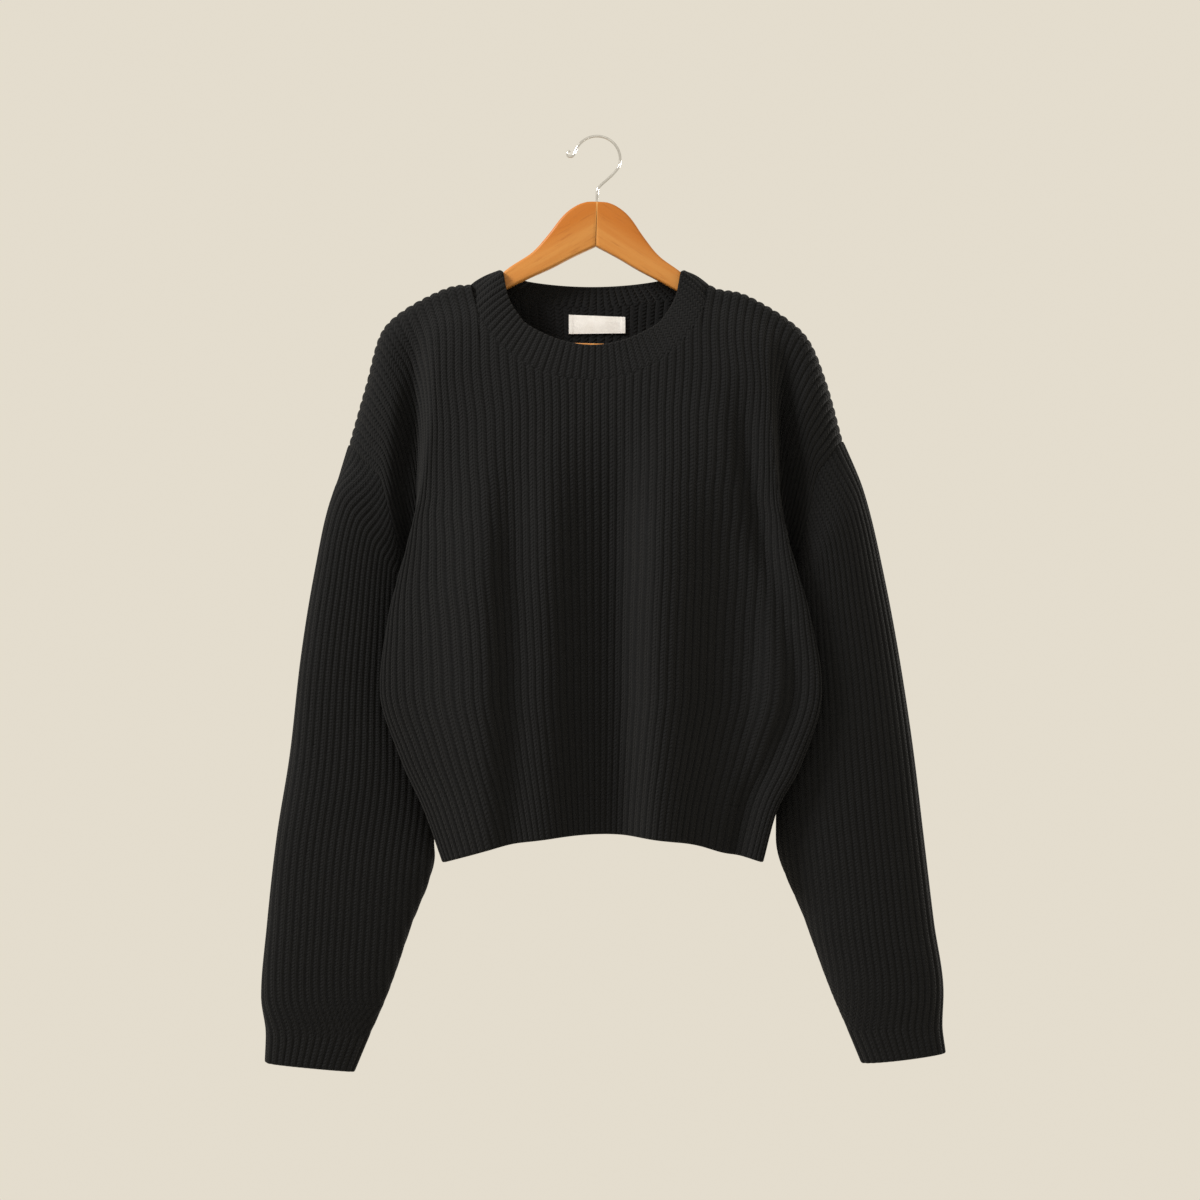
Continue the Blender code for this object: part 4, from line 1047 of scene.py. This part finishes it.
def tube(name, route, radius, material):
    """A round wire or rod along a line of points, closed at both ends."""
    curve = bpy.data.curves.new(name, "CURVE")
    curve.dimensions = "3D"
    curve.bevel_depth = radius
    curve.bevel_resolution = TUBE_ROUNDNESS
    curve.use_fill_caps = True
    spline = curve.splines.new("POLY")
    spline.points.add(len(route) - 1)
    for point, place in zip(spline.points, route):
        point.co = (*place, 1)
    spline.use_smooth = True
    curve.materials.append(material)
    return link(name, curve)


def hook_route():
    """The hook's wire, from its curled tip over the arc and down its stem."""
    turns = np.radians(np.linspace(HOOK_TO, HOOK_FROM, HOOK_ARC_STEPS))
    centre_z = WIRE_RADIUS - HOOK_RADIUS
    arc = [(HOOK_RADIUS * math.cos(a), centre_z + HOOK_RADIUS * math.sin(a)) for a in turns]
    tip = [(x * MM, -z * MM) for x, z in HOOK_TIP[::-1]]
    neck = [(x * MM, -z * MM) for x, z in HOOK_NECK]
    knots = np.array(tip + arc + neck)
    reached = reached_along(knots)
    line = smooth(reached, knots, np.linspace(0, reached[-1], HOOK_STEPS))
    return [(x, 0, z) for x, z in line]


def build_bar(wood):
    """The trouser bar."""
    ends = [tilted(side * BAR_HALF, BAR_Z) for side in (RIGHT, LEFT)]
    route = [(x, 0, z) for x, z in np.linspace(*ends, BAR_STEPS)]
    return tube("hanger_bar_round", route, BAR_RADIUS, wood)


def area_light(name, place, target, size, power, colour):
    """A square soft light that faces its target."""
    light = bpy.data.lights.new(name, "AREA")
    light.shape = "SQUARE"
    light.size = size
    light.energy = power
    light.color = colour
    thing = link(name, light)
    thing.location = place
    aim = np.array(target) - np.array(place)
    thing.rotation_euler = Vector(aim).to_track_quat("-Z", "Y").to_euler()


def floor_material():
    """A plain pale floor, very slightly mottled."""
    material, tree, shader = new_material("pale_floor")
    mottle = noise(tree, object_place(tree), 3.0, 3.0)
    colour = blend(tree, mottle, FLOOR_TONE, tuple(FLOOR_MOTTLE * c for c in FLOOR_TONE))
    feed(tree, shader, {"Base Color": colour, "Roughness": 0.9})
    return material


def build_room():
    """The pale surroundings and the floor far below."""
    world = bpy.data.worlds.new("pale_room")
    world.use_nodes = True
    tree = world.node_tree
    feed(tree, tree.nodes["Background"], {"Color": WALL_TONE, "Strength": 1.0})
    bpy.context.scene.world = world
    bpy.ops.mesh.primitive_circle_add(vertices=96, radius=FLOOR_RADIUS, fill_type="NGON",
                                      location=(0, 0, FLOOR_Z))
    floor = bpy.context.object
    floor.name = "floor"
    floor.data.materials.append(floor_material())


def build_camera():
    """The camera, level and square on to the front."""
    camera = link("camera", bpy.data.cameras.new("camera"))
    camera.location = CAMERA_PLACE
    camera.rotation_euler = (math.pi / 2, 0, 0)
    camera.data.lens = CAMERA_LENS
    camera.data.sensor_width = CAMERA_SENSOR
    bpy.context.scene.camera = camera


def dress(thing, node):
    """A finished piece takes the place of its CAD node."""
    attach(thing, "root")
    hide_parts(node)
    return thing


def dress_cloth():
    """The knit and the label, each in the place of its CAD node."""
    knit = knit_material()
    front = dress(build_panel("front_knit", FRONT, knit), "front_panel")
    back = dress(build_panel("back_knit", BACK, knit), "back_panel")
    hem = dress(build_hem(knit), "hem_band")
    collar = dress(build_collar(knit), "collar_band")
    for side, word in ((RIGHT, "right"), (LEFT, "left")):
        sleeve, phase = build_sleeve(side, f"sleeve_{word}_knit", knit)
        cuff = build_cuff(side, f"cuff_{word}_knit", phase, knit)
        dress(sleeve, f"sleeve_{word}")
        dress(cuff, f"cuff_{word}")
    label = dress(build_label(label_material()), "neck_label")


def dress_hanger():
    """The hanger's arms, bar and hook."""
    for side, word in ((RIGHT, "right"), (LEFT, "left")):
        wood = wood_material(f"varnished_wood_{word}", side, ARM_SLOPE)
        dress(build_arm(side, f"arm_{word}_wood", wood), f"hanger_arm_{word}")
    dress(build_bar(wood_material("varnished_wood_bar", LEFT, 0)), "hanger_bar")
    dress(tube("hook_wire", hook_route(), WIRE_RADIUS, chrome_material()), "hanger_hook")


def main():
    """The object, and then its stage: the room, the lights and the camera."""
    dress_cloth()
    dress_hanger()
    bpy.context.scene.view_settings.view_transform = "Standard"
    build_room()
    for light in LIGHTS:
        area_light(*light)
    build_camera()


main()
